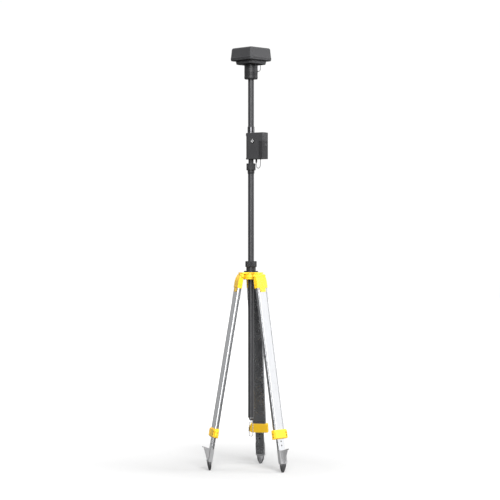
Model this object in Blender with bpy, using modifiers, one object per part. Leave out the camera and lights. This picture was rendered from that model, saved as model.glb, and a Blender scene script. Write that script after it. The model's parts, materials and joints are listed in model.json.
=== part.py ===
"""GNSS receiver on a pole, held by a survey tripod.

Metres, +Z up, and the front is -Y. The origin is the point on the ground under the pole's axis.
"""

import math

import bmesh
import bpy
from mathutils import Matrix, Vector

# Fits
GAP = 0.0003  # between pieces that touch
SIDES = 24  # of a large turned piece
SMALL_SIDES = 16  # of a small one

# Looks: colour, roughness, metallic
BLACK_PLASTIC = ((0.030, 0.030, 0.032), 0.50, 0.0)
GREY_PLASTIC = ((0.060, 0.060, 0.064), 0.48, 0.0)
RUBBER = ((0.015, 0.015, 0.015), 0.80, 0.0)
CARBON = ((0.022, 0.022, 0.024), 0.32, 0.0)
YELLOW = ((0.90, 0.58, 0.03), 0.42, 0.0)
ALUMINIUM = ((0.72, 0.73, 0.75), 0.34, 1.0)
CAST_METAL = ((0.42, 0.42, 0.43), 0.50, 0.9)
DARK_STEEL = ((0.13, 0.13, 0.14), 0.42, 1.0)
BRIGHT_STEEL = ((0.62, 0.62, 0.64), 0.22, 1.0)
BRASS = ((0.72, 0.52, 0.22), 0.30, 1.0)
CABLE_GREY = ((0.55, 0.56, 0.57), 0.55, 0.0)
BOARD_GREEN = ((0.02, 0.16, 0.07), 0.45, 0.0)
CERAMIC = ((0.72, 0.68, 0.58), 0.55, 0.0)
BADGE_WHITE = ((0.86, 0.86, 0.86), 0.28, 0.1)
WINDOW_DARK = ((0.01, 0.01, 0.012), 0.10, 0.0)

# Poles
POLE_RADIUS = 0.0155
POLE_WALL = 0.0015
POLE_LOW = 0.2662
POLE_HIGH = 1.5448
UPPER_POLE_RADIUS = 0.01535
UPPER_POLE_LOW = 1.6083
UPPER_POLE_HIGH = 2.0680
BORE_RADIUS = 0.01575  # of whatever the poles pass through

# Hook under the pole
HOOK_AXIS_HEIGHT = 0.2445
HOOK_WIRE_RADIUS = 0.0020
HOOK_HALF_WIDTH = 0.0095  # to the middle of the wire
HOOK_DROP = 0.0755  # from the top of the ring to its bottom, wire middle to wire middle

# Coupling between the two poles
COUPLING_LOW = 1.5320
COUPLING_SPLIT = 1.5513
COUPLING_HIGH = 1.5870
STUB_RADIUS = 0.0135

# Battery and receiver box: x runs from the pole's axis to the far end, y towards the back
BOX_TURN = math.radians(-35.0)
BOX_LOW = 1.6080
BOX_HIGH = 1.7450
BOX_HALF_DEPTH = 0.0245
BOX_END = 0.0930
BOX_CORNER = 0.0070
BOX_FLARE = 1.12  # how much further the end round the pole reaches at its two rims
BOX_WALL = 0.0025
BATTERY_START = 0.0642
BATTERY_TOP = 1.7002
BADGE_THICKNESS = 0.0030
CABLE_RADIUS = 0.0015

# Antenna head, a square turned so that one corner faces the front
HEAD_TURN = math.radians(45.0)
NECK_LOW = 2.0250
NECK_SPLIT = 2.0613
NECK_RADIUS = 0.0350
PLINTH_LOW = 2.1003
HEAD_LOW = 2.1180
HEAD_SEAM = 2.1288
HEAD_TOP = 2.1870
HEAD_SIDE = 0.1560
HEAD_TOP_SIDE = 0.1480
HEAD_CORNER = 0.0100
HEAD_WALL = 0.0025

# Tripod
HINGE_RADIUS = 0.0560
HINGE_HEIGHT = 1.0030
LEG_TILT = math.radians(9.6)
LEG_MIDDLE = 0.0050  # how far the leg's middle plane lies outside its hinge
LEG_AZIMUTHS = {"rear": 76.75, "left": 196.75, "right": 316.75}
CROWN_LOW = 0.9840
CROWN_PLATE_LOW = 1.0120
CROWN_TOP = 1.0210
UPPER_LEG_WIDTH = 0.0720
UPPER_LEG_DEPTH = 0.0200
UPPER_LEG_TOP = -0.0280
UPPER_LEG_END = -0.8256
LOWER_LEG_WIDTH = 0.0450
LOWER_LEG_DEPTH = 0.0150
LOWER_LEG_TOP = -0.1800
LOWER_LEG_END = -0.9672
CLAMP_MIDDLE = -0.8224
CLAMP_HEIGHT = 0.0480
CLAMP_WIDTH = 0.0940
CLAMP_DEPTH = 0.0240
LEVER_AXIS = (LEG_MIDDLE + 0.0146, 0.0410)
FOOT_RADIUS = 0.2226  # of the foot's point, from the pole's axis


# ------------------------------------------------------------------ scene and objects


def clear_scene():
    for obj in list(bpy.data.objects):
        bpy.data.objects.remove(obj, do_unlink=True)


def new_collection(name):
    made = bpy.data.collections.new(name)
    bpy.context.scene.collection.children.link(made)
    return made


clear_scene()
PARTS = new_collection("gnss_receiver")
CUTTERS = new_collection("cutters")


def give_material(obj, look):
    colour, roughness, metallic = look
    material = bpy.data.materials.new(obj.name)
    material.use_nodes = True
    shader = material.node_tree.nodes["Principled BSDF"]
    shader.inputs["Base Color"].default_value = (*colour, 1.0)
    shader.inputs["Roughness"].default_value = roughness
    shader.inputs["Metallic"].default_value = metallic
    obj.data.materials.append(material)


def add_object(name, data, look, parent=None, location=(0.0, 0.0, 0.0), rotation=(0.0, 0.0, 0.0)):
    """Puts a mesh or curve in the scene. With no look it is a cutter."""
    obj = bpy.data.objects.new(name, data)
    obj.parent = parent
    obj.location = location
    obj.rotation_euler = rotation
    if look is None:
        CUTTERS.objects.link(obj)
        obj.hide_render = True
        obj.display_type = "WIRE"
    else:
        PARTS.objects.link(obj)
        give_material(obj, look)
    return obj


def add_empty(name, location=(0.0, 0.0, 0.0), rotation=(0.0, 0.0, 0.0), parent=None):
    empty = bpy.data.objects.new(name, None)
    empty.location = location
    empty.rotation_euler = rotation
    empty.parent = parent
    PARTS.objects.link(empty)
    return empty


def boolean(obj, operation, others):
    for other in others:
        modifier = obj.modifiers.new(operation.title(), "BOOLEAN")
        modifier.operation = operation
        modifier.solver = "EXACT"
        modifier.object = other


def join(obj, *others):
    boolean(obj, "UNION", others)


def cut(obj, *others):
    boolean(obj, "DIFFERENCE", others)


# ------------------------------------------------------------------ shapes


def finished_mesh(name, bm):
    bmesh.ops.recalc_face_normals(bm, faces=bm.faces)
    mesh = bpy.data.meshes.new(name)
    bm.to_mesh(mesh)
    bm.free()
    mesh.shade_smooth()
    mesh.set_sharp_from_angle(angle=math.radians(35.0))
    return mesh


def edges_along(bm, axis):
    """The edges that run along an axis, 0 to 2."""
    return [
        edge
        for edge in bm.edges
        if abs((edge.verts[1].co - edge.verts[0].co).normalized()[axis]) > 0.99
    ]


def round_edges(bm, edges, radius, segments):
    bmesh.ops.bevel(
        bm, geom=edges, offset=radius, segments=segments, profile=0.5, affect="EDGES", clamp_overlap=True
    )


def cube(low, high):
    bm = bmesh.new()
    bmesh.ops.create_cube(bm, size=1.0)
    low = Vector(low)
    high = Vector(high)
    bmesh.ops.scale(bm, vec=high - low, verts=bm.verts)
    bmesh.ops.translate(bm, vec=(high + low) / 2, verts=bm.verts)
    return bm


def block(name, look, low, high, radius=0.0, axis=2, segments=3, **placing):
    """A box between two corners, with the edges along one axis rounded."""
    bm = cube(low, high)
    if radius:
        round_edges(bm, edges_along(bm, axis), radius, segments)
    return add_object(name, finished_mesh(name, bm), look, **placing)


def cylinder(name, look, radius, length, sides=SMALL_SIDES, **placing):
    """A plain cylinder about its own Z, centred on its origin."""
    bm = bmesh.new()
    bmesh.ops.create_cone(bm, cap_ends=True, segments=sides, radius1=radius, radius2=radius, depth=length)
    return add_object(name, finished_mesh(name, bm), look, **placing)


def prism(name, look, outline, low, high, axis=2, **placing):
    """An outline of (a, b) pairs in the plane across an axis, extruded along it from low to high."""
    bm = bmesh.new()
    others = [i for i in range(3) if i != axis]
    verts = []
    for a, b in outline:
        point = [low, low, low]
        point[others[0]] = a
        point[others[1]] = b
        verts.append(bm.verts.new(point))
    face = bm.faces.new(verts)
    made = bmesh.ops.extrude_face_region(bm, geom=[face])["geom"]
    shift = [0.0, 0.0, 0.0]
    shift[axis] = high - low
    bmesh.ops.translate(bm, vec=shift, verts=[v for v in made if isinstance(v, bmesh.types.BMVert)])
    return add_object(name, finished_mesh(name, bm), look, **placing)


def turned(name, look, profile, sides=SIDES, **placing):
    """A turned piece. Its profile of (radius, height) pairs starts at the top and runs down the outer side.

    A profile that starts and ends on the axis makes a solid, and any other is closed into a ring.
    """
    count = len(profile)
    edges = [(i, i + 1) for i in range(count - 1)]
    if profile[0][0] > 0.0:
        edges.append((count - 1, 0))
    mesh = bpy.data.meshes.new(name)
    mesh.from_pydata([(radius, 0.0, height) for radius, height in profile], edges, [])
    obj = add_object(name, mesh, look, **placing)
    screw = obj.modifiers.new("Turn", "SCREW")
    screw.axis = "Z"
    screw.steps = sides
    screw.render_steps = sides
    screw.use_merge_vertices = True
    screw.merge_threshold = 0.00001
    return obj


def tube(name, look, radius, wall, low, high, **placing):
    inner = radius - wall
    return turned(name, look, [(radius, high), (radius, low), (inner, low), (inner, high)], **placing)


def arc(centre, radius, start, end, steps):
    """Points on an arc, in degrees from the first axis."""
    angles = [math.radians(start + (end - start) * i / steps) for i in range(steps + 1)]
    return [(centre[0] + radius * math.cos(a), centre[1] + radius * math.sin(a)) for a in angles]


def rounded_rectangle(half_a, half_b, radius, middle=(0.0, 0.0), steps=3):
    outline = []
    for sign_a, sign_b, start in ((1, 1, 0), (-1, 1, 90), (-1, -1, 180), (1, -1, 270)):
        centre = (middle[0] + sign_a * (half_a - radius), middle[1] + sign_b * (half_b - radius))
        outline += arc(centre, radius, start, start + 90, steps)
    return outline


def loft(name, look, rings, **placing):
    """A closed skin over rings that each have the same number of points."""
    bm = bmesh.new()
    rows = [[bm.verts.new(point) for point in ring] for ring in rings]
    count = len(rings[0])
    for row, following in zip(rows, rows[1:]):
        for i in range(count):
            j = (i + 1) % count
            bm.faces.new((row[i], row[j], following[j], following[i]))
    bm.faces.new(rows[0])
    bm.faces.new(rows[-1])
    return add_object(name, finished_mesh(name, bm), look, **placing)


def smooth_route(points, steps):
    """Points along a smooth curve through the given ones, with this many steps between neighbours."""
    points = [Vector(point) for point in points]
    ends = [2 * points[0] - points[1]] + points + [2 * points[-1] - points[-2]]
    route = []
    for before, start, end, after in zip(ends, ends[1:], ends[2:], ends[3:]):
        for i in range(steps):
            t = i / steps
            route.append(
                0.5
                * (
                    2 * start
                    + (end - before) * t
                    + (2 * before - 5 * start + 4 * end - after) * t**2
                    + (3 * start - before - 3 * end + after) * t**3
                )
            )
    route.append(points[-1])
    return route


def wire(name, look, points, radius, closed=False, **placing):
    """A round wire through points."""
    curve = bpy.data.curves.new(name, "CURVE")
    curve.dimensions = "3D"
    curve.bevel_depth = radius
    curve.bevel_resolution = 2
    curve.use_fill_caps = not closed
    spline = curve.splines.new("POLY")
    spline.points.add(len(points) - 1)
    for target, point in zip(spline.points, points):
        target.co = (*point, 1.0)
    spline.use_cyclic_u = closed
    return add_object(name, curve, look, **placing)


# ------------------------------------------------------------------ antenna head


def square_cup(name, look, low, high, low_side, high_side, opening, edge_radius):
    """A rounded square shell, open at its low or high end, with its closed end's rim rounded."""
    bm = cube((-0.5, -0.5, low), (0.5, 0.5, high))
    for vert in bm.verts:
        side = low_side if vert.co.z < (low + high) / 2 else high_side
        vert.co.x *= side
        vert.co.y *= side
    round_edges(bm, edges_along(bm, 2), HEAD_CORNER, 3)
    open_height = low if opening == "low" else high
    closed_height = high if opening == "low" else low
    rim = [
        edge
        for edge in bm.edges
        if all(abs(vert.co.z - closed_height) < 0.0001 for vert in edge.verts)
    ]
    round_edges(bm, rim, edge_radius, 2)
    lids = [
        face
        for face in bm.faces
        if all(abs(vert.co.z - open_height) < 0.0001 for vert in face.verts)
    ]
    bmesh.ops.delete(bm, geom=lids, context="FACES")
    obj = add_object(name, finished_mesh(name, bm), look, rotation=(0.0, 0.0, HEAD_TURN))
    shell = obj.modifiers.new("Wall", "SOLIDIFY")
    shell.thickness = HEAD_WALL
    shell.offset = -1.0
    shell.use_even_offset = True
    return obj


def build_radome():
    cover_low = HEAD_SEAM + 0.0013
    square_cup("radome_cover", BLACK_PLASTIC, cover_low, HEAD_TOP, HEAD_SIDE, HEAD_TOP_SIDE, "low", 0.0070)
    half = HEAD_SIDE / 2 - 0.0012
    gasket = prism(
        "radome_gasket", RUBBER, rounded_rectangle(half, half, HEAD_CORNER - 0.0012),
        HEAD_SEAM, HEAD_SEAM + 0.0009, rotation=(0.0, 0.0, HEAD_TURN),
    )
    inner = half - 0.0030
    cut(
        gasket,
        prism(
            "gasket_inside", None, rounded_rectangle(inner, inner, HEAD_CORNER - 0.0040),
            HEAD_SEAM - 0.001, HEAD_SEAM + 0.002, rotation=(0.0, 0.0, HEAD_TURN),
        ),
    )


def build_antenna_base():
    seam = HEAD_SEAM - GAP
    base = square_cup("antenna_base", BLACK_PLASTIC, HEAD_LOW, seam, HEAD_SIDE, HEAD_SIDE, "high", 0.0025)
    cut(base, cylinder("base_cable_way", None, 0.0100, 0.020, location=(0.0, 0.0, HEAD_LOW)))
    boss_top = 2.1335
    for i in range(4):
        angle = math.radians(90.0 * i)
        place = (0.062 * math.cos(angle), 0.062 * math.sin(angle), (HEAD_LOW + 0.0010 + boss_top) / 2)
        height = boss_top - HEAD_LOW - 0.0010
        join(base, cylinder(f"board_boss_{i}", None, 0.0035, height, sides=8, location=place))


def octagon(side, corner_reach):
    """A square whose corners are cut off at a distance from its middle."""
    half = side / 2
    step = math.sqrt(2.0) * corner_reach - half
    return [
        (half, -step), (half, step), (step, half), (-step, half),
        (-half, step), (-half, -step), (-step, -half), (step, -half),
    ]


def build_plinth():
    top = HEAD_LOW - GAP
    turn = (0.0, 0.0, HEAD_TURN)
    plinth = prism("base_plinth", BLACK_PLASTIC, octagon(0.124, 0.078), PLINTH_LOW, top, rotation=turn)
    floor = PLINTH_LOW + HEAD_WALL
    inside = prism("plinth_inside", None, octagon(0.118, 0.074), floor, top + 0.005, rotation=turn)
    cable_way = cylinder("plinth_cable_way", None, 0.0100, 0.020, location=(0.0, 0.0, PLINTH_LOW))
    cut(plinth, inside, cable_way)


def build_antenna_internals():
    turn = (0.0, 0.0, HEAD_TURN)
    board_low = 2.1338
    block(
        "receiver_board", BOARD_GREEN, (-0.058, -0.058, board_low), (0.058, 0.058, board_low + 0.0016),
        radius=0.006, segments=2, rotation=turn,
    )
    pan_low = board_low + 0.0016 + GAP
    pan_top = 2.1520
    turned(
        "ground_plane", ALUMINIUM,
        [
            (0.0, pan_top), (0.0520, pan_top), (0.0540, pan_top - 0.002), (0.0540, pan_low),
            (0.0525, pan_low), (0.0525, pan_top - 0.0015), (0.0, pan_top - 0.0015),
        ],
    )
    block(
        "antenna_element", CERAMIC, (-0.030, -0.030, pan_top + GAP), (0.030, 0.030, pan_top + 0.009),
        radius=0.004, segments=2, rotation=turn,
    )


def build_neck():
    top = PLINTH_LOW - GAP
    floor = 2.0760
    waist = 0.0310
    ring_low = NECK_LOW + 0.0050
    turned(
        "neck_housing", BLACK_PLASTIC,
        [
            (NECK_RADIUS + 0.0006, top), (NECK_RADIUS, top - 0.004), (NECK_RADIUS, NECK_SPLIT),
            (waist, NECK_SPLIT), (waist, ring_low - GAP), (0.0345, ring_low - GAP),
            (0.0330, NECK_LOW + 0.0018), (0.0295, NECK_LOW), (BORE_RADIUS, NECK_LOW),
            (BORE_RADIUS, floor), (waist, floor), (waist, top),
        ],
    )
    ring_wall = NECK_RADIUS - waist - 0.0004
    tube("neck_ring", BLACK_PLASTIC, NECK_RADIUS, ring_wall, ring_low, NECK_SPLIT - GAP)


def build_head_cable():
    route = [
        (0.0494, -0.004, PLINTH_LOW - GAP), (0.0494, -0.004, 2.0920), (0.0494, -0.004, 2.0830),
        (0.0484, -0.004, 2.0745), (0.0448, -0.004, 2.0680), (0.0402, -0.004, 2.0655),
        (0.0352, -0.004, 2.0650),
    ]
    wire("head_cable", CABLE_GREY, smooth_route(route, 2), CABLE_RADIUS)


# ------------------------------------------------------------------ poles


def build_upper_pole():
    tube("upper_pole", CARBON, UPPER_POLE_RADIUS, POLE_WALL, UPPER_POLE_LOW, UPPER_POLE_HIGH)
    inside = UPPER_POLE_RADIUS - POLE_WALL - GAP
    flange_low = UPPER_POLE_HIGH + GAP
    stud = 0.0079
    turned(
        "pole_top_adapter", BRASS,
        [
            (0.0, 2.0950), (stud, 2.0950), (stud, flange_low + 0.004), (0.0150, flange_low + 0.004),
            (0.0150, flange_low), (inside, flange_low), (inside, 2.0400), (0.0, 2.0400),
        ],
        sides=SMALL_SIDES,
    )
    turned(
        "upper_pole_stub", BRIGHT_STEEL,
        [(0.0, 1.6400), (STUB_RADIUS, 1.6400), (STUB_RADIUS, 1.5480), (0.0, 1.5480)],
    )
    sleeve_low = BOX_HIGH + GAP
    turned(
        "pole_sleeve", BLACK_PLASTIC,
        [
            (0.0172, sleeve_low + 0.0330), (0.0183, sleeve_low + 0.0315), (0.0183, sleeve_low),
            (BORE_RADIUS, sleeve_low), (BORE_RADIUS, sleeve_low + 0.0330),
        ],
    )


def build_coupling():
    spigot = 0.0172
    spigot_top = 1.5745
    seat = POLE_HIGH + GAP
    turned(
        "coupling_collar", BLACK_PLASTIC,
        [
            (spigot, spigot_top), (spigot, COUPLING_SPLIT - GAP), (0.0182, COUPLING_SPLIT - GAP),
            (0.0182, 1.5450), (0.0162, COUPLING_LOW), (POLE_RADIUS + GAP, COUPLING_LOW),
            (POLE_RADIUS + GAP, seat), (STUB_RADIUS + GAP, seat), (STUB_RADIUS + GAP, spigot_top),
        ],
    )
    turned(
        "coupling_nut", BLACK_PLASTIC,
        [
            (0.0225, COUPLING_HIGH), (0.0240, COUPLING_HIGH - 0.002), (0.0240, COUPLING_SPLIT + 0.0022),
            (0.0225, COUPLING_SPLIT), (spigot + 0.0004, COUPLING_SPLIT),
            (spigot + 0.0004, spigot_top + 0.0015), (STUB_RADIUS + 0.0004, spigot_top + 0.0015),
            (STUB_RADIUS + 0.0004, COUPLING_HIGH),
        ],
    )


def build_lower_pole():
    tube("lower_pole", CARBON, POLE_RADIUS, POLE_WALL, POLE_LOW, POLE_HIGH)
    inside = POLE_RADIUS - POLE_WALL - GAP
    cap_low = 0.2510
    shank = 0.0030
    turned(
        "pole_end_cap", BRIGHT_STEEL,
        [
            (0.0, 0.2900), (inside, 0.2900), (inside, POLE_LOW - GAP), (0.0125, POLE_LOW - GAP),
            (0.0120, 0.2625), (0.0070, cap_low), (shank + GAP, cap_low), (shank + GAP, 0.2720),
            (0.0, 0.2720),
        ],
        sides=SMALL_SIDES,
    )
    eye_top = cap_low - GAP
    eye = prism(
        "hook_eye", BRIGHT_STEEL,
        [(-0.0055, eye_top), *arc((0.0, HOOK_AXIS_HEIGHT), 0.0058, 180, 360, 8), (0.0055, eye_top)],
        -0.0020, 0.0020, axis=0,
    )
    shank_middle = (eye_top - 0.002 + 0.2700) / 2
    shank_length = 0.2700 - (eye_top - 0.002)
    join(eye, cylinder("hook_shank", None, shank, shank_length, sides=12, location=(0.0, 0.0, shank_middle)))
    hole = cylinder(
        "hook_eye_hole", None, HOOK_WIRE_RADIUS + 0.0006, 0.010, sides=16,
        location=(0.0, 0.0, HOOK_AXIS_HEIGHT), rotation=(0.0, math.pi / 2, 0.0),
    )
    cut(eye, hole)


def build_hook_ring():
    """A long ring, whose origin is on the axis it swings about."""
    low = -HOOK_DROP + HOOK_HALF_WIDTH
    points = arc((0.0, -HOOK_HALF_WIDTH), HOOK_HALF_WIDTH, 0, 180, 8)
    points += arc((0.0, low), HOOK_HALF_WIDTH, 180, 360, 8)
    wire(
        "hook_ring", BRIGHT_STEEL, [(x, 0.0, z) for x, z in points], HOOK_WIRE_RADIUS, closed=True,
        location=(0.0, 0.0, HOOK_AXIS_HEIGHT),
    )


# ------------------------------------------------------------------ box


def half_box_outline(side):
    """Half of the box seen from above. Side is -1 for the front half and 1 for the back half."""
    seam = GAP / 2
    outline = [(-math.sqrt(BOX_HALF_DEPTH**2 - seam**2), seam)]
    outline += arc((0.0, 0.0), BOX_HALF_DEPTH, 168, 90, 6)
    corner = (BOX_END - BOX_CORNER, BOX_HALF_DEPTH - BOX_CORNER)
    outline += arc(corner, BOX_CORNER, 90, 0, 4)
    outline.append((BOX_END, seam))
    return [(x, side * y) for x, y in outline]


def half_box_rings(side):
    """Half of the box, level by level, with a rim round the pole at its top and bottom."""
    levels = (
        (BOX_LOW, BOX_FLARE), (BOX_LOW + 0.0060, BOX_FLARE), (BOX_LOW + 0.0090, 1.0),
        (BOX_HIGH - 0.0190, 1.0), (BOX_HIGH - 0.0120, BOX_FLARE), (BOX_HIGH - 0.0040, BOX_FLARE),
        (BOX_HIGH, 1.04),
    )
    outline = half_box_outline(side)
    return [[(x * flare if x < 0.0 else x, y, height) for x, y in outline] for height, flare in levels]


def build_box_shells(frame):
    inside = BOX_HALF_DEPTH - BOX_WALL
    floor = BOX_LOW + BOX_WALL
    ceiling = BOX_HIGH - BOX_WALL
    notch_top = BATTERY_TOP + 0.0004
    shared = [
        cylinder(
            "box_pole_bore", None, BORE_RADIUS, 0.200, sides=SIDES, parent=frame,
            location=(0.0, 0.0, (BOX_LOW + BOX_HIGH) / 2),
        ),
        block("box_cavity", None, (0.0190, -inside, floor), (0.0612, inside, ceiling), parent=frame),
        block(
            "box_top_cavity", None, (0.0600, -inside, notch_top + BOX_WALL),
            (BOX_END - BOX_WALL, inside, ceiling), parent=frame,
        ),
        block("battery_notch", None, (0.0639, -0.040, 1.590), (0.120, 0.040, notch_top), parent=frame),
        block("battery_way", None, (0.0600, -0.0180, 1.6180), (0.0700, 0.0180, 1.6920), parent=frame),
    ]
    front = loft("box_front_shell", GREY_PLASTIC, half_box_rings(-1), parent=frame)
    cut(front, *shared)
    rear = loft("box_rear_shell", GREY_PLASTIC, half_box_rings(1), parent=frame)
    cut(rear, *shared)
    across = (math.pi / 2, 0.0, 0.0)
    cut(
        rear,
        cylinder(
            "button_hole", None, 0.0054, 0.012, parent=frame, location=(0.030, BOX_HALF_DEPTH, 1.7200),
            rotation=across,
        ),
        block(
            "window_hole", None, (0.0430, 0.0200, 1.7160), (0.0670, 0.0300, 1.7240), radius=0.0035,
            axis=1, parent=frame,
        ),
    )


def build_box_controls(frame):
    turned(
        "power_button", YELLOW,
        [
            (0.0, 0.0250), (0.0046, 0.0250), (0.0050, 0.0246), (0.0050, 0.0217), (0.0064, 0.0217),
            (0.0064, 0.0203), (0.0, 0.0203),
        ],
        sides=SMALL_SIDES, parent=frame, location=(0.030, 0.0, 1.7200), rotation=(-math.pi / 2, 0.0, 0.0),
    )
    block(
        "status_window", WINDOW_DARK, (0.0433, 0.0223, 1.7163), (0.0667, 0.0247, 1.7237), radius=0.0032,
        axis=1, parent=frame,
    )
    block(
        "control_board", BOARD_GREEN, (0.0220, -0.0140, 1.7045), (0.0880, -0.0124, 1.7410), parent=frame,
    )
    centre = (0.0254, 1.7006)
    half_width = 0.0135
    half_height = 0.0140
    diamond = [
        (centre[0] + half_width, centre[1]), (centre[0], centre[1] + half_height),
        (centre[0] - half_width, centre[1]), (centre[0], centre[1] - half_height),
    ]
    face = -BOX_HALF_DEPTH - GAP
    prism("badge", BADGE_WHITE, diamond, face - BADGE_THICKNESS, face, axis=1, parent=frame)


def build_battery(frame):
    block(
        "battery_pack", BLACK_PLASTIC, (0.0300, -0.0170, 1.6195), (BATTERY_START - GAP, 0.0170, 1.6905),
        radius=0.002, axis=0, segments=2, parent=frame,
    )
    corner = (BOX_END - BOX_CORNER, BOX_HALF_DEPTH - BOX_CORNER)
    side = [(BATTERY_START, BOX_HALF_DEPTH), *arc(corner, BOX_CORNER, 90, 0, 4)]
    outline = side + [(x, -y) for x, y in reversed(side)]
    cap = prism("battery_cap", GREY_PLASTIC, outline, BOX_LOW, BATTERY_TOP, parent=frame)
    recess = BOX_HALF_DEPTH - 0.0014
    cut(
        cap,
        block("cap_front_recess", None, (0.0600, -0.040, 1.6120), (0.0852, -recess, 1.6960), parent=frame),
        block("cap_back_recess", None, (0.0600, recess, 1.6120), (0.0852, 0.040, 1.6960), parent=frame),
        block(
            "latch_pocket", None, (0.0885, -0.0120, 1.6740), (0.1100, 0.0120, 1.6900), radius=0.003,
            axis=0, parent=frame,
        ),
    )
    block(
        "battery_latch", BLACK_PLASTIC, (0.0908, -0.0116, 1.6744), (0.0938, 0.0116, 1.6896), radius=0.0027,
        axis=0, parent=frame,
    )


def build_box_cable(frame):
    plug_low = 1.5885
    turned(
        "cable_plug", BLACK_PLASTIC,
        [
            (0.0, BOX_LOW - GAP), (0.0048, BOX_LOW - GAP), (0.0048, 1.6000), (0.0042, 1.5980),
            (0.0042, 1.5940), (0.0030, plug_low), (0.0, plug_low),
        ],
        sides=SMALL_SIDES, parent=frame, location=(0.0337, 0.0, 0.0),
    )
    route = [
        (0.0337, 0.0, plug_low - GAP), (0.0332, 0.0, 1.5800), (0.0344, 0.0, 1.5715), (0.0392, 0.0, 1.5640),
        (0.0462, 0.0, 1.5612), (0.0530, 0.0, 1.5640), (0.0578, 0.0, 1.5715), (0.0597, 0.0, 1.5820),
        (0.0600, 0.0, 1.5950), (0.0600, 0.0, BOX_LOW - GAP),
    ]
    wire("box_cable", CABLE_GREY, smooth_route(route, 2), CABLE_RADIUS, parent=frame)


# ------------------------------------------------------------------ tripod head


def crown_outline():
    """The head's plate from above: a disc with three broad arms."""
    half_width = 0.0320
    arm_end = 0.0600
    chamfer = 0.0050
    disc = 0.0460
    edge_angle = math.degrees(math.asin(half_width / disc))
    outline = []
    for azimuth in LEG_AZIMUTHS.values():
        turn = Matrix.Rotation(math.radians(azimuth), 2)
        arm = [
            (arm_end - chamfer, -half_width), (arm_end, -half_width + chamfer),
            (arm_end, half_width - chamfer), (arm_end - chamfer, half_width),
        ]
        arm += arc((0.0, 0.0), disc, edge_angle, 120 - edge_angle, 4)
        outline += [tuple(turn @ Vector(point)) for point in arm]
    return outline


def build_crown(arm_frames):
    crown = prism("tripod_head", YELLOW, crown_outline(), CROWN_PLATE_LOW, CROWN_TOP)
    hub_top = CROWN_TOP - 0.0040
    hub_radius = 0.0430
    hub = turned(
        "crown_hub", None,
        [
            (0.0, hub_top), (hub_radius, hub_top), (hub_radius, CROWN_LOW + 0.004),
            (hub_radius - 0.002, CROWN_LOW), (0.0, CROWN_LOW),
        ],
    )
    join(crown, hub)
    along = (math.pi / 2, 0.0, 0.0)
    knuckle_radius = 0.0083
    for name, frame in arm_frames.items():
        outline = [(-0.0200, 0.0130), (-0.0200, -0.0065), *arc((0.0, 0.0), knuckle_radius, -90, 30, 4)]
        outline.append((outline[-1][0], 0.0130))
        join(crown, prism(f"{name}_knuckle", None, outline, -0.0146, 0.0146, axis=1, parent=frame))
        cut(crown, cylinder(f"{name}_knuckle_bore", None, 0.00415, 0.050, parent=frame, rotation=along))
    bore = cylinder("crown_bore", None, 0.0194, 0.100, sides=SIDES, location=(0.0, 0.0, CROWN_TOP - 0.02))
    cut(crown, bore)


def build_pole_lock():
    flange_low = CROWN_TOP + GAP
    tube("head_flange", BLACK_PLASTIC, 0.0370, 0.0176, flange_low, flange_low + 0.0064)
    collar_low = flange_low + 0.0064 + GAP
    collar_top = 1.0480
    neck = 0.0190
    collet = turned(
        "pole_collet", BLACK_PLASTIC,
        [
            (neck, 1.0745), (neck, collar_top), (0.0250, collar_top), (0.0250, collar_low),
            (neck, collar_low), (neck, 0.9900), (BORE_RADIUS, 0.9900), (BORE_RADIUS, 1.0745),
        ],
    )
    for i in range(2):
        slot = block(
            f"collet_slot_{i}", None, (-0.0300, -0.0010, 1.0530), (0.0300, 0.0010, 1.0900),
            rotation=(0.0, 0.0, math.radians(90.0 * i + 20.0)),
        )
        cut(collet, slot)
    knob_low = collar_top + GAP
    knob_top = 1.0795
    turned(
        "lock_knob", BLACK_PLASTIC,
        [
            (0.0280, knob_top), (0.0300, knob_top - 0.003), (0.0300, knob_low + 0.003),
            (0.0285, knob_low), (neck + 0.0005, knob_low),
            (neck + 0.0005, 1.0755), (BORE_RADIUS + 0.0005, 1.0755), (BORE_RADIUS + 0.0005, knob_top),
        ],
    )


# ------------------------------------------------------------------ legs


def in_leg(radius, height):
    """The leg frame's x and z of a point in the leg's upright plane."""
    out = radius - HINGE_RADIUS
    up = height - HINGE_HEIGHT
    return (
        out * math.cos(LEG_TILT) + up * math.sin(LEG_TILT),
        up * math.cos(LEG_TILT) - out * math.sin(LEG_TILT),
    )


def build_hinge_bolt(name, frame):
    """The bolt lies across the leg, and its head and nut stand outside the bracket."""
    shaft = 0.0040
    head = 0.0065
    inner = 0.0378
    outer = 0.0430
    turned(
        f"{name}_hinge_bolt", DARK_STEEL,
        [
            (0.0, outer), (head, outer), (head, inner), (shaft, inner), (shaft, -inner), (head, -inner),
            (head, -outer), (0.0, -outer),
        ],
        sides=SMALL_SIDES, parent=frame, rotation=(-math.pi / 2, 0.0, 0.0),
    )


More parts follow.
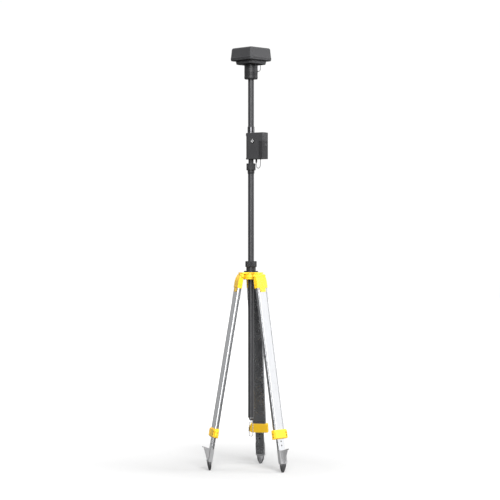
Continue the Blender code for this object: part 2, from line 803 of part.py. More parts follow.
def build_bracket(name, frame):
    """The moulding that holds the leg's top and turns on the hinge bolt."""
    half_width = 0.0375
    half_depth = UPPER_LEG_DEPTH / 2 + 0.0022
    bottom = -0.0657
    outer = LEG_MIDDLE + half_depth
    inner = LEG_MIDDLE - half_depth
    outline = [(outer, bottom), (outer, -0.0300), (outer - 0.0022, -0.0170), (outer - 0.0060, -0.0070)]
    outline += arc((0.0, 0.0), 0.0085, 10, 180, 6)
    outline += [(inner, -0.0120), (inner, bottom)]
    bracket = prism(f"{name}_leg_bracket", YELLOW, outline, -half_width, half_width, axis=1, parent=frame)
    tab = block(
        f"{name}_bracket_tab", None, (outer - 0.0018, -0.0200, -0.0860), (outer - GAP, 0.0200, -0.0600),
        radius=0.004, axis=0, segments=2, parent=frame,
    )
    join(bracket, tab)
    pocket = rounded_rectangle(
        UPPER_LEG_DEPTH / 2 + GAP, UPPER_LEG_WIDTH / 2 + GAP, 0.0050, middle=(LEG_MIDDLE, 0.0), steps=2
    )
    along = (math.pi / 2, 0.0, 0.0)
    cut(
        bracket,
        prism(f"{name}_bracket_pocket", None, pocket, -0.1000, UPPER_LEG_TOP + GAP, parent=frame),
        block(f"{name}_bracket_slot", None, (-0.030, -0.0150, -0.0190), (0.030, 0.0150, 0.030), parent=frame),
        cylinder(f"{name}_bracket_bore", None, 0.00415, 0.100, parent=frame, rotation=along),
    )


def leg_section():
    """The upper leg's section: two rounded edge tubes with a slightly recessed panel between."""
    half_depth = UPPER_LEG_DEPTH / 2
    half_width = UPPER_LEG_WIDTH / 2
    panel = half_depth - 0.0010
    panel_edge = half_width - 0.0095
    corner = 0.0050
    quarter = [(panel, panel_edge - 0.0010), (half_depth, panel_edge)]
    quarter += arc((half_depth - corner, half_width - corner), corner, 0, 90, 2)
    half = quarter + [(-x, y) for x, y in reversed(quarter)]
    whole = half + [(-x, -y) for x, y in half]
    return [(LEG_MIDDLE + x, y) for x, y in whole]


def build_upper_leg(name, frame):
    leg = prism(f"{name}_upper_leg", ALUMINIUM, leg_section(), UPPER_LEG_END, UPPER_LEG_TOP, parent=frame)
    half_channel = (LOWER_LEG_DEPTH / 2 + 0.0004, LOWER_LEG_WIDTH / 2 + 0.0004)
    low = UPPER_LEG_END - 0.010
    high = UPPER_LEG_TOP + 0.010
    cut(
        leg,
        block(
            f"{name}_channel", None, (LEG_MIDDLE - half_channel[0], -half_channel[1], low),
            (LEG_MIDDLE + half_channel[0], half_channel[1], high), parent=frame,
        ),
    )
    for side in (-1, 1):
        ends = sorted((side * 0.0250, side * 0.0335))
        tube_way = block(
            f"{name}_edge_hollow_{side + 1}", None, (LEG_MIDDLE - 0.0070, ends[0], low),
            (LEG_MIDDLE + 0.0070, ends[1], high), parent=frame,
        )
        cut(leg, tube_way)


def build_clamp(name, frame):
    half_depth = CLAMP_DEPTH / 2
    half_width = CLAMP_WIDTH / 2
    low = CLAMP_MIDDLE - CLAMP_HEIGHT / 2
    high = CLAMP_MIDDLE + CLAMP_HEIGHT / 2
    outline = rounded_rectangle(half_depth, half_width, 0.0050, middle=(LEG_MIDDLE, 0.0), steps=2)
    clamp = prism(f"{name}_leg_clamp", YELLOW, outline, low, high, parent=frame)
    for side in (-1, 1):
        ear_low = CLAMP_MIDDLE + side * 0.0155 - 0.0033
        ear = block(
            f"{name}_lever_ear_{side + 1}", None, (LEG_MIDDLE + 0.0100, 0.0380, ear_low),
            (LEVER_AXIS[0] + 0.0026, 0.0440, ear_low + 0.0066), radius=0.0012, segments=2, parent=frame,
        )
        join(clamp, ear)
    pocket = rounded_rectangle(
        UPPER_LEG_DEPTH / 2 + GAP, UPPER_LEG_WIDTH / 2 + GAP, 0.0050, middle=(LEG_MIDDLE, 0.0), steps=2
    )
    cut(
        clamp,
        prism(f"{name}_clamp_pocket", None, pocket, UPPER_LEG_END - GAP, high + 0.01, parent=frame),
        block(
            f"{name}_clamp_way", None,
            (LEG_MIDDLE - LOWER_LEG_DEPTH / 2 - 0.0004, -LOWER_LEG_WIDTH / 2 - 0.0004, low - 0.01),
            (LEG_MIDDLE + LOWER_LEG_DEPTH / 2 + 0.0004, LOWER_LEG_WIDTH / 2 + 0.0004, CLAMP_MIDDLE),
            parent=frame,
        ),
        cylinder(
            f"{name}_lever_bore", None, 0.0018, 0.060, sides=12, parent=frame,
            location=(LEVER_AXIS[0], LEVER_AXIS[1], CLAMP_MIDDLE),
        ),
    )


def build_lever(name, frame):
    """The cam lever lies on the clamp's outer face. Its origin is on its hinge's axis."""
    place = (LEVER_AXIS[0], LEVER_AXIS[1], CLAMP_MIDDLE)
    inner = -0.0022
    outer = 0.0020
    outline = [
        (-0.0850, -0.0165), (-0.0830, -0.0190), (-0.0080, -0.0190), (-0.0060, -0.0170), (-0.0060, -0.0115),
        (-0.0010, -0.0115), (-0.0010, 0.0115), (-0.0060, 0.0115), (-0.0060, 0.0170), (-0.0080, 0.0190),
        (-0.0830, 0.0190), (-0.0850, 0.0165),
    ]
    lever = prism(f"{name}_clamp_lever", YELLOW, outline, inner, outer, axis=0, parent=frame, location=place)
    join(
        lever,
        cylinder(f"{name}_lever_barrel", None, 0.0023, 0.0230, sides=12, parent=frame, location=place),
        cylinder(f"{name}_lever_pin", None, 0.0015, 0.0370, sides=8, parent=frame, location=place),
    )


def build_lower_leg(name, frame):
    middle = (LEG_MIDDLE, 0.0)
    outer = rounded_rectangle(LOWER_LEG_DEPTH / 2, LOWER_LEG_WIDTH / 2, 0.0030, middle=middle, steps=2)
    wall = 0.0016
    inner = rounded_rectangle(
        LOWER_LEG_DEPTH / 2 - wall, LOWER_LEG_WIDTH / 2 - wall, 0.0015, middle=middle, steps=1
    )
    leg = prism(f"{name}_lower_leg", ALUMINIUM, outer, LOWER_LEG_END, LOWER_LEG_TOP, parent=frame)
    inside = prism(
        f"{name}_lower_leg_inside", None, inner, LOWER_LEG_END - 0.01, LOWER_LEG_TOP + 0.01, parent=frame
    )
    cut(leg, inside)
    for i, height in enumerate((-0.8582, -0.8798)):
        hole = cylinder(
            f"{name}_leg_hole_{i}", None, 0.0025, 0.040, sides=8, parent=frame,
            location=(LEG_MIDDLE, 0.0, height), rotation=(0.0, math.pi / 2, 0.0),
        )
        cut(leg, hole)


def build_shoe(name, frame):
    """The cast shoe: a tongue in the tube, a rim under it, and a step on a gusset outside."""
    top = LOWER_LEG_END - 0.0005
    bottom = LOWER_LEG_END - 0.0073
    shoe = block(
        f"{name}_foot_shoe", CAST_METAL, (LEG_MIDDLE - 0.0082, -0.0205, bottom),
        (LEG_MIDDLE + 0.0120, 0.0205, top), radius=0.003, segments=2, parent=frame,
    )
    tongue = block(
        f"{name}_shoe_tongue", None, (LEG_MIDDLE - 0.0055, -0.0204, top - 0.002),
        (LEG_MIDDLE + 0.0055, 0.0204, -0.9300), radius=0.001, segments=1, parent=frame,
    )
    plate = block(
        f"{name}_shoe_plate", None, (LEG_MIDDLE + LOWER_LEG_DEPTH / 2 + GAP, -0.0190, bottom + 0.0015),
        (LEG_MIDDLE + 0.0115, 0.0190, -0.9050), radius=0.004, axis=0, segments=2, parent=frame,
    )
    step = [in_leg(0.2620, 0.1262), in_leg(0.2620, 0.1215), in_leg(0.2530, 0.1170), in_leg(0.2345, 0.0480)]
    root = LEG_MIDDLE + 0.0095
    outline = step + [(root, bottom + 0.0025), (root, -0.9060)]
    gusset = prism(f"{name}_shoe_gusset", None, outline, -0.0050, 0.0050, axis=1, parent=frame)
    join(shoe, tongue, plate, gusset)


def build_tip(name, frame):
    """The steel point, from the shoe's rim to a small flat on the ground."""
    top = LOWER_LEG_END - 0.0076
    rings = []
    steps = 4
    count = 12
    for i in range(steps + 1):
        s = i / steps
        half_width = 0.0050 + 0.0145 * (1.0 - s**2.2)
        half_depth = 0.0045 + 0.0052 * (1.0 - s**1.5)
        ring = []
        for j in range(count):
            angle = 2 * math.pi * (j + 0.5) / count
            across = math.copysign(abs(math.sin(angle)) ** 0.6, math.sin(angle))
            along = math.copysign(abs(math.cos(angle)) ** 0.6, math.cos(angle))
            start = (LEG_MIDDLE + 0.0018 + half_depth * along, top)
            ground = in_leg(FOOT_RADIUS + half_depth * along, 0.0)
            x = (1.0 - s) * start[0] + s * ground[0]
            z = (1.0 - s) * start[1] + s * ground[1]
            ring.append((x, half_width * across, z))
        rings.append(ring)
    loft(f"{name}_foot_tip", DARK_STEEL, rings, parent=frame)


def build_legs():
    arm_frames = {}
    for name, azimuth in LEG_AZIMUTHS.items():
        turn = math.radians(azimuth)
        hinge = (HINGE_RADIUS * math.cos(turn), HINGE_RADIUS * math.sin(turn), HINGE_HEIGHT)
        arm_frames[name] = add_empty(f"{name}_arm_frame", hinge, (0.0, 0.0, turn))
        frame = add_empty(f"{name}_leg_frame", hinge, (0.0, -LEG_TILT, turn))
        build_hinge_bolt(name, arm_frames[name])
        build_bracket(name, frame)
        build_upper_leg(name, frame)
        build_clamp(name, frame)
        build_lever(name, frame)
        build_lower_leg(name, frame)
        build_shoe(name, frame)
        build_tip(name, frame)
    return arm_frames


def main():
    build_radome()
    build_antenna_base()
    build_plinth()
    build_antenna_internals()
    build_neck()
    build_head_cable()
    build_upper_pole()
    build_coupling()
    build_lower_pole()
    build_hook_ring()
    box_frame = add_empty("box_frame", rotation=(0.0, 0.0, BOX_TURN))
    build_box_shells(box_frame)
    build_box_controls(box_frame)
    build_battery(box_frame)
    build_box_cable(box_frame)
    build_crown(build_legs())
    build_pole_lock()


main()
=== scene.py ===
"""Looks of the GNSS receiver on its tripod-held pole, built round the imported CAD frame.

Metres, +Z up, and the front is -Y, as in the frame. Each piece is modelled in a frame of its own: the
world's, the antenna head's, the box's or a leg's. Most take the place of the CAD node they are named after,
and the others are small fittings that ride on the same bodies.
"""

import json
import math

import bmesh
import bpy
from mathutils import Matrix, Vector

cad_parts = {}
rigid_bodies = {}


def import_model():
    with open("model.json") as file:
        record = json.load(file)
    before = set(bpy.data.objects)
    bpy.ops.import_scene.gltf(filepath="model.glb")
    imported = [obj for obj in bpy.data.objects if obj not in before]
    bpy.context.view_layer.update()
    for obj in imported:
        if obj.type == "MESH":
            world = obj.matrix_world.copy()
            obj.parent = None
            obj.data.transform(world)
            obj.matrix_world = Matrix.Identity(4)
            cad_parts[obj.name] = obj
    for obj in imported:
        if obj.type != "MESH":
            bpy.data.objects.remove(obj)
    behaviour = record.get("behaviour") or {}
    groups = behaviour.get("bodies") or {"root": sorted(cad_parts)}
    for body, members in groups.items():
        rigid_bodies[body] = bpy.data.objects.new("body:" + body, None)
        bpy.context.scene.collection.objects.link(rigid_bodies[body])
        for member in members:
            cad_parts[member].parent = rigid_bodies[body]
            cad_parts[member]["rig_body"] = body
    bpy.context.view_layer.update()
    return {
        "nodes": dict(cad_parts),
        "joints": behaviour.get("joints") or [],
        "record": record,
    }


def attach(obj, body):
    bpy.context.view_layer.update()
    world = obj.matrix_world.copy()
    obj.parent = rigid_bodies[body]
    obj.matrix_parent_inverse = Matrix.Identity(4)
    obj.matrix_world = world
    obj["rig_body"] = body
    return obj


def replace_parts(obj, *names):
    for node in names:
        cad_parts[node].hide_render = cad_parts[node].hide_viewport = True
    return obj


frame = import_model()
JOINTS = {joint["name"]: joint for joint in frame["joints"]}
SLOTS = {part["node"]: part["material_slot"] for part in frame["record"]["subparts"]}
LEGS = ("rear", "left", "right")
ACROSS_X = Matrix.Rotation(math.pi / 2, 4, "Y")  # turns a piece's z axis to x
ACROSS_Y = Matrix.Rotation(-math.pi / 2, 4, "X")  # turns a piece's z axis to y
UPSIDE_DOWN = Matrix.Rotation(math.pi, 4, "X")
SHARP_ANGLE = math.radians(32.0)  # an edge that turns by more stays sharp
SOFTBOX = 2.4  # each softbox's side
FLOOR_REACH = 30.0
LEAD_RADIUS = 0.0015
POLE_BORE = 0.01575
BOX_DEPTH = 0.0245  # from the box's middle plane to its flanks
GRIP_DEPTH = BOX_DEPTH - 0.0014  # and to the floor of the battery's finger recesses
BOX_CORNER = (0.0860, 0.0175, 0.0070)  # the far corners' centre, to either side, and their radius
BUTTON = (0.0300, 1.7200)  # x and z of the power button
HINGE_RADIUS = 0.0560  # from the pole's axis to the legs' hinges
HINGE_HEIGHT = 1.0030
BOLT_BORE = 0.00415
LEG_MIDDLE = 0.0050  # the tubes' middle plane, outward of the hinge axis
CLAMP_MIDDLE = -0.8224  # down the leg from its hinge, like the levels below
PLUG_LEVELS = (-0.8582, -0.8798)
LEVER_AXIS = (0.0196, 0.0410)  # x and y of the clamp lever's pin
FOOT_RADIUS = 0.2226  # from the pole's axis to the points of the feet


# ------------------------------------------------------------------ frames and measures


def frame_of(origin, x, z):
    """A frame from its origin, its x axis and its z axis."""
    x = Vector(x).normalized()
    z = Vector(z).normalized()
    made = Matrix((x, z.cross(x), z)).transposed().to_4x4()
    made.translation = Vector(origin)
    return made


def leg_frame(leg):
    """x points outward, y across the leg and z up along it, from the middle of its hinge bolt."""
    hinge = JOINTS[f"{leg}_leg_hinge"]
    up = -Vector(JOINTS[f"{leg}_leg_extension"]["axis"])
    across = -Vector(hinge["axis"])
    return frame_of(hinge["pos_m"], across.cross(up), up)


def arm_frame(leg):
    """The same with z upright: the frame of the head's arm."""
    hinge = JOINTS[f"{leg}_leg_hinge"]
    return frame_of(hinge["pos_m"], (hinge["pos_m"][0], hinge["pos_m"][1], 0.0), (0.0, 0.0, 1.0))


WORLD = Matrix.Identity(4)
HEAD = Matrix.Rotation(math.radians(45.0), 4, "Z")
BOX = frame_of((0.0, 0.0, 0.0), JOINTS["battery_slide"]["axis"], (0.0, 0.0, 1.0))
LEG_FRAMES = {leg: leg_frame(leg) for leg in LEGS}
ARM_FRAMES = {leg: arm_frame(leg) for leg in LEGS}


def extent(node, place=WORLD):
    """The lowest and highest corners of a CAD node, measured in a frame."""
    inverse = place.inverted()
    points = [inverse @ vert.co for vert in frame["nodes"][node].data.vertices]
    return Vector(map(min, *points)), Vector(map(max, *points))


def shifted(place, x=0.0, y=0.0, z=0.0):
    return place @ Matrix.Translation((x, y, z))


# ------------------------------------------------------------------ outlines


def arc(centre, radius, start, end, steps):
    """Points on an arc, in degrees from the first axis."""
    angles = [math.radians(start + (end - start) * i / steps) for i in range(steps + 1)]
    return [(centre[0] + radius * math.cos(a), centre[1] + radius * math.sin(a)) for a in angles]


def rounded_rectangle(half_a, half_b, radius, middle=(0.0, 0.0), steps=8):
    outline = []
    for sign_a, sign_b, start in ((1, 1, 0), (-1, 1, 90), (-1, -1, 180), (1, -1, 270)):
        centre = (middle[0] + sign_a * (half_a - radius), middle[1] + sign_b * (half_b - radius))
        outline += arc(centre, radius, start, start + 90, steps)
    return outline


def filleted(points, steps=4, radius=0.0):
    """Rounds the corners of a closed outline. A point's third number, if it has one, is its own radius."""
    made = []
    for i, point in enumerate(points):
        corner = Vector(point[:2])
        wanted = point[2] if len(point) == 3 else radius
        if wanted <= 0.0:
            made.append(tuple(corner))
            continue
        back = Vector(points[i - 1][:2]) - corner
        ahead = Vector(points[(i + 1) % len(points)][:2]) - corner
        reach = min(wanted / math.tan(back.angle(ahead) / 2), 0.48 * back.length, 0.48 * ahead.length)
        start = corner + back.normalized() * reach
        end = corner + ahead.normalized() * reach
        for k in range(steps + 1):
            t = k / steps
            made.append(tuple(start * (1 - t) ** 2 + corner * 2 * t * (1 - t) + end * t**2))
    return made


def smooth_route(points, steps):
    """Points along a smooth curve through the given ones, with this many steps between neighbours."""
    points = [Vector(point) for point in points]
    ends = [2 * points[0] - points[1]] + points + [2 * points[-1] - points[-2]]
    route = []
    for before, start, end, after in zip(ends, ends[1:], ends[2:], ends[3:]):
        slope = end - before
        bend = 2 * before - 5 * start + 4 * end - after
        twist = 3 * start - before - 3 * end + after
        for i in range(steps):
            t = i / steps
            route.append(0.5 * (2 * start + slope * t + bend * t**2 + twist * t**3))
    route.append(points[-1])
    return route


# ------------------------------------------------------------------ mesh pieces


def placed(name, data, place=WORLD):
    """An object of some data, in a frame."""
    piece = bpy.data.objects.new(name, data)
    bpy.context.scene.collection.objects.link(piece)
    piece.matrix_world = place
    return piece


def new_piece(name, bm, place=WORLD):
    bmesh.ops.recalc_face_normals(bm, faces=bm.faces)
    mesh = bpy.data.meshes.new(name)
    bm.to_mesh(mesh)
    bm.free()
    return placed(name, mesh, place)


def settle(piece):
    """Puts a piece's modifiers into its mesh."""
    graph = bpy.context.evaluated_depsgraph_get()
    mesh = bpy.data.meshes.new_from_object(piece.evaluated_get(graph))
    piece.modifiers.clear()
    piece.data = mesh
    return piece


def combine(piece, operation, others, crossing=False):
    """Adds or cuts other pieces, which it uses up. Crossing ones have faces that may run into each other."""
    for other in others:
        modifier = piece.modifiers.new(operation.title(), "BOOLEAN")
        modifier.operation = operation
        modifier.solver = "EXACT"
        modifier.use_self = crossing
        modifier.object = other
    settle(piece)
    for other in others:
        bpy.data.objects.remove(other, do_unlink=True)
    return piece


def cut(piece, *cutters):
    return combine(piece, "DIFFERENCE", cutters)


def join(piece, *others):
    return combine(piece, "UNION", others)


def soften(piece, width, segments=3, angle=35.0):
    """Rounds the edges that turn by more than an angle."""
    modifier = piece.modifiers.new("Soften", "BEVEL")
    modifier.width = width
    modifier.segments = segments
    modifier.limit_method = "ANGLE"
    modifier.angle_limit = math.radians(angle)
    modifier.miter_outer = "MITER_ARC"
    return settle(piece)


def walled(piece, thickness):
    """Gives an open surface a wall on its inner side."""
    modifier = piece.modifiers.new("Wall", "SOLIDIFY")
    modifier.thickness = thickness
    modifier.offset = -1.0
    modifier.use_even_offset = True
    return settle(piece)


def lofted(name, rings, place=WORLD, low_end=True):
    """A skin over rings of as many points each, closed at the last ring and, as a rule, at the first."""
    bm = bmesh.new()
    rows = [[bm.verts.new(point) for point in ring] for ring in rings]
    count = len(rings[0])
    for row, following in zip(rows, rows[1:]):
        for i in range(count):
            j = (i + 1) % count
            bm.faces.new((row[i], row[j], following[j], following[i]))
    if low_end:
        bm.faces.new(rows[0])
    bm.faces.new(rows[-1])
    return new_piece(name, bm, place)


def extruded(name, outline, low, high, place=WORLD, axis=2):
    """An outline in the plane across an axis, extruded along it."""

    def at(a, b, level):
        point = [a, b]
        point.insert(axis, level)
        return point

    return lofted(name, [[at(a, b, level) for a, b in outline] for level in (low, high)], place)


def block(name, low, high, radius=0.0, place=WORLD, segments=3):
    """A box between two corners with all its edges rounded."""
    outline = [(low[0], low[1]), (high[0], low[1]), (high[0], high[1]), (low[0], high[1])]
    made = extruded(name, outline, low[2], high[2], place)
    return soften(made, radius, segments) if radius else made


def turned(name, outline, place=WORLD, sides=96, warp=None):
    """A piece turned about z from a closed outline of (radius, height) pairs.

    An outline that starts and ends on the axis makes a solid. warp(angle, radius, height) gives the
    radius of a piece that isn't quite round.
    """
    bm = bmesh.new()
    hollow = outline[0][0] > 0.0
    columns = []
    middles = {i: bm.verts.new((0.0, 0.0, h)) for i, (r, h) in enumerate(outline) if r <= 0.0}
    for step in range(sides):
        angle = 2 * math.pi * step / sides
        column = []
        for i, (radius, height) in enumerate(outline):
            if i in middles:
                column.append(middles[i])
                continue
            reach = warp(angle, radius, height) if warp else radius
            column.append(bm.verts.new((reach * math.cos(angle), reach * math.sin(angle), height)))
        columns.append(column)
    count = len(outline)
    for step in range(sides):
        here = columns[step]
        following = columns[(step + 1) % sides]
        for i in range(count if hollow else count - 1):
            j = (i + 1) % count
            corners = [here[i], following[i], following[j], here[j]]
            face = [vert for k, vert in enumerate(corners) if vert not in corners[:k]]
            if len(face) > 2:
                bm.faces.new(face)
    return new_piece(name, bm, place)


def rod(name, radius, start, end, place=WORLD, sides=48):
    """A plain cylinder between two points, to cut or to join with."""
    start = Vector(start)
    end = Vector(end)
    bm = bmesh.new()
    length = (end - start).length
    bmesh.ops.create_cone(bm, cap_ends=True, segments=sides, radius1=radius, radius2=radius, depth=length)
    turn = (end - start).to_track_quat("Z", "Y").to_matrix().to_4x4()
    return new_piece(name, bm, place @ Matrix.Translation((start + end) / 2) @ turn)


def swept(name, points, radius, place=WORLD, closed=False, resolution=4):
    """A round wire through points, as a curve."""
    curve = bpy.data.curves.new(name, "CURVE")
    curve.dimensions = "3D"
    curve.bevel_depth = radius
    curve.bevel_resolution = resolution
    curve.use_fill_caps = not closed
    spline = curve.splines.new("POLY")
    spline.points.add(len(points) - 1)
    for target, point in zip(spline.points, points):
        target.co = (*point, 1.0)
    spline.use_cyclic_u = closed
    spline.use_smooth = True
    return placed(name, curve, place)


def copies(name, pattern, places):
    """One piece made of copies of another, which it uses up."""
    bm = bmesh.new()
    for place in places:
        part = pattern.data.copy()
        part.transform(place)
        bm.from_mesh(part)
        bpy.data.meshes.remove(part)
    bpy.data.objects.remove(pattern, do_unlink=True)
    return new_piece(name, bm)


def copies_in(name, parts):
    """One piece made of several parts in the same frame, which it uses up."""
    place = parts[0].matrix_world.copy()
    bm = bmesh.new()
    for part in parts:
        bm.from_mesh(part.data)
        bpy.data.objects.remove(part, do_unlink=True)
    return new_piece(name, bm, place)


# ------------------------------------------------------------------ placing on the frame


def trim(piece, body, slot, look=None):
    """Gives a piece its finish and lets it ride on a body. A look of its own can differ from its slot's."""
    if piece.type == "MESH":
        piece.data.shade_smooth()
        piece.data.set_sharp_from_angle(angle=SHARP_ANGLE)
        weighting = piece.modifiers.new("Weighted", "WEIGHTED_NORMAL")
        weighting.keep_sharp = True
    piece.data.materials.clear()
    piece.data.materials.append(LOOKS[look or slot])
    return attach(piece, body)


def stand_for(piece, node, look=None):
    """Puts a piece in a CAD node's place, on its body and with the material named by the node's slot, unless
    a look is given.
    """
    trim(piece, frame["nodes"][node]["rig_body"], SLOTS[node], look)
    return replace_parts(piece, node)


def stand_turned(node, outline, steps=4, look=None, **options):
    """Stands a turned piece with rounded corners in for a CAD node."""
    return stand_for(turned(f"fine_{node}", filleted(outline, steps), **options), node, look)


# ------------------------------------------------------------------ materials


class Graph:
    """A node tree being made."""

    def __init__(self, tree):
        self.tree = tree

    def node(self, kind, inputs=None, **settings):
        made = self.tree.nodes.new("ShaderNode" + kind)
        for key, value in settings.items():
            setattr(made, key, value)
        for key, value in (inputs or {}).items():
            if isinstance(value, bpy.types.NodeSocket):
                self.tree.links.new(value, made.inputs[key])
            elif value is not None:
                made.inputs[key].default_value = value
        return made

    def math(self, operation, a, b=0.0):
        return self.node("Math", {0: a, 1: b}, operation=operation).outputs[0]

    def between(self, value, low, high, most=1.0):
        """0 below low, rising to most at high."""
        limits = {"Value": value, "From Min": low, "From Max": high, "To Max": most}
        return self.node("MapRange", limits).outputs["Result"]


class Surface(Graph):
    """A material being made: its colour, roughness and relief grow with each call."""

    def __init__(self, name, colour, roughness, metallic=0.0):
        self.material = bpy.data.materials.new(name)
        self.material.use_nodes = True
        super().__init__(self.material.node_tree)
        self.shader = self.tree.nodes["Principled BSDF"]
        self.shader.inputs["Metallic"].default_value = metallic
        self.colour = (*colour, 1.0)
        self.roughness = roughness
        self.normal = None
        self.here = self.node("TexCoord").outputs["Object"]

    def noise(self, scale, stretch=(1.0, 1.0, 1.0), detail=3.0):
        spread = self.node("Mapping", {"Vector": self.here, "Scale": stretch}).outputs["Vector"]
        made = self.node("TexNoise", {"Vector": spread, "Scale": scale, "Detail": detail})
        return made.outputs[0]

    def edges(self, radius, most=1.0):
        """Rises where a sharp edge lies within the radius."""
        rounded = self.node("Bevel", {"Radius": radius}, samples=4).outputs["Normal"]
        plain = self.node("NewGeometry").outputs["Normal"]
        facing = self.node("VectorMath", {0: rounded, 1: plain}, operation="DOT_PRODUCT")
        return self.between(facing.outputs["Value"], 0.985, 0.85, most)

    def tint(self, mask, colour):
        """Mixes a colour in where the mask says."""
        made = self.node("Mix", {0: mask, 6: self.colour, 7: (*colour, 1.0)}, data_type="RGBA")
        self.colour = made.outputs[2]

    def roughen(self, mask, change):
        self.roughness = self.math("ADD", self.math("MULTIPLY", mask, change), self.roughness)

    def relief(self, height, depth):
        inputs = {"Height": height, "Distance": depth, "Strength": 1.0, "Normal": self.normal}
        self.normal = self.node("Bump", inputs).outputs["Normal"]

    def finished(self, further=None):
        """The material, with any further inputs of its shader set by name."""
        self.shader.inputs["Roughness"].default_value = 0.5
        links = {"Base Color": self.colour, "Roughness": self.roughness, "Normal": self.normal}
        for key, value in links.items():
            if isinstance(value, bpy.types.NodeSocket):
                self.tree.links.new(value, self.shader.inputs[key])
            elif value is not None:
                self.shader.inputs[key].default_value = value
        for key, value in (further or {}).items():
            self.shader.inputs[key].default_value = value
        return self.material


def lighter(colour, times):
    return tuple(min(1.0, channel * times) for channel in colour)


def moulded(name, colour, roughness):
    """Injection-moulded plastic: spark-eroded grain, faint flow marks and rubbed edges."""
    look = Surface(name, colour, roughness)
    look.tint(look.between(look.noise(14.0), 0.35, 0.75, 0.5), lighter(colour, 1.35))
    look.tint(look.edges(0.0012, 0.55), lighter(colour, 2.6))
    look.roughen(look.noise(60.0), 0.12)
    look.relief(look.noise(2400.0, detail=2.0), 0.00005)
    return look.finished()


def dull_black(name, colour):
    """A deep black that hardly shines, for a plug or a screw, and as the painted shadow of the badge's
    backing.
    """
    look = Surface(name, colour, 0.65)
    look.tint(look.edges(0.0008, 0.5), lighter(colour, 4.0))
    look.roughen(look.noise(80.0), 0.10)
    look.relief(look.noise(900.0), 0.00004)
    return look.finished({"Specular IOR Level": 0.12})


def carbon_tube(name, colour):
    """Satin lacquer over a fine twill weave, wound round the tube's axis."""
    look = Surface(name, colour, 0.30)
    axes = look.node("SeparateXYZ", {"Vector": look.here}).outputs
    tow = 0.0022
    radius = 0.0154
    angle = look.math("ARCTAN2", axes["Y"], axes["X"])
    round_count = look.math("FLOOR", look.math("MULTIPLY", angle, radius / tow))
    along_count = look.math("FLOOR", look.math("MULTIPLY", axes["Z"], 1.0 / tow))
    turn = look.math("FRACT", look.math("MULTIPLY", look.math("ADD", round_count, along_count), 0.25))
    over = look.math("GREATER_THAN", turn, 0.49)
    look.tint(look.math("MULTIPLY", over, 0.55), lighter(colour, 1.5))
    look.roughen(over, 0.05)
    look.tint(look.between(look.noise(220.0, (1.0, 1.0, 0.02), 4.0), 0.62, 0.72, 0.35), lighter(colour, 3.0))
    look.relief(look.noise(900.0), 0.00003)
    return look.finished({"Coat Weight": 0.25, "Coat Roughness": 0.22})


def powder_coat(name, colour):
    """Satin yellow coat with orange peel, scuffs and faint streaks of dirt."""
    look = Surface(name, colour, 0.36)
    look.tint(look.between(look.noise(22.0), 0.4, 0.8, 0.35), (colour[0], colour[1] * 0.86, colour[2]))
    look.tint(look.between(look.noise(310.0, (1.0, 1.0, 0.25), 5.0), 0.68, 0.78, 0.4), (0.55, 0.36, 0.06))
    look.tint(look.edges(0.0010, 0.35), (0.98, 0.80, 0.30))
    look.roughen(look.noise(45.0), 0.16)
    look.relief(look.noise(1100.0, detail=2.0), 0.00006)
    return look.finished({"Coat Weight": 0.15, "Coat Roughness": 0.3})


def extruded_metal(name, colour):
    """Satin anodised aluminium with die lines along z and a few dull smears."""
    look = Surface(name, colour, 0.20, 1.0)
    lines = look.noise(1.0, (1500.0, 1500.0, 6.0), 4.0)
    look.tint(look.between(lines, 0.45, 0.75, 0.30), lighter(colour, 0.78))
    look.tint(look.between(look.noise(30.0, (1.0, 1.0, 0.3), 5.0), 0.55, 0.8, 0.25), lighter(colour, 0.82))
    look.roughen(lines, 0.08)
    look.roughen(look.between(look.noise(26.0), 0.45, 0.75), 0.06)
    look.relief(lines, 0.00003)
    return look.finished()


def cast_metal(name, colour):
    """Sand-cast alloy with a coarse skin and bright rubbed edges."""
    look = Surface(name, colour, 0.44, 0.35)
    skin = look.noise(620.0, detail=5.0)
    look.tint(look.between(skin, 0.45, 0.7, 0.5), lighter(colour, 0.72))
    look.tint(look.edges(0.0016, 0.8), lighter(colour, 1.5))
    look.roughen(skin, 0.22)
    look.relief(skin, 0.00016)
    look.relief(look.noise(90.0), 0.00040)
    return look.finished()


def scratched_steel(name, colour, roughness, worn):
    """Steel with fine scratches in all directions and edges worn bright."""
    look = Surface(name, colour, roughness, 1.0)
    scratches = look.noise(160.0, (14.0, 1.0, 1.0), 4.0)
    crossing = look.noise(160.0, (1.0, 12.0, 2.0), 4.0)
    marks = look.math("MAXIMUM", look.between(scratches, 0.58, 0.7), look.between(crossing, 0.58, 0.7))
    look.tint(look.math("MULTIPLY", marks, 0.4), lighter(colour, 1.6))
    look.tint(look.edges(0.0012, worn), (0.72, 0.72, 0.74))
    look.roughen(look.noise(70.0), 0.18)
    look.relief(marks, 0.00003)
    return look.finished()


def turned_brass(name, colour):
    look = Surface(name, colour, 0.24, 1.0)
    rings = look.noise(1.0, (20.0, 20.0, 2600.0), 2.0)
    look.roughen(rings, 0.14)
    look.relief(rings, 0.00003)
    return look.finished()


def rubber_skin(name, colour):
    look = Surface(name, colour, 0.72)
    look.tint(look.between(look.noise(120.0), 0.45, 0.75, 0.4), lighter(colour, 1.9))
    look.relief(look.noise(1700.0), 0.00006)
    return look.finished()


def cable_jacket(name, colour):
    """Dark grey jacket with faint handling marks."""
    look = Surface(name, colour, 0.42)
    look.tint(look.between(look.noise(240.0), 0.5, 0.8, 0.35), lighter(colour, 0.7))
    look.relief(look.noise(1500.0), 0.00003)
    return look.finished()


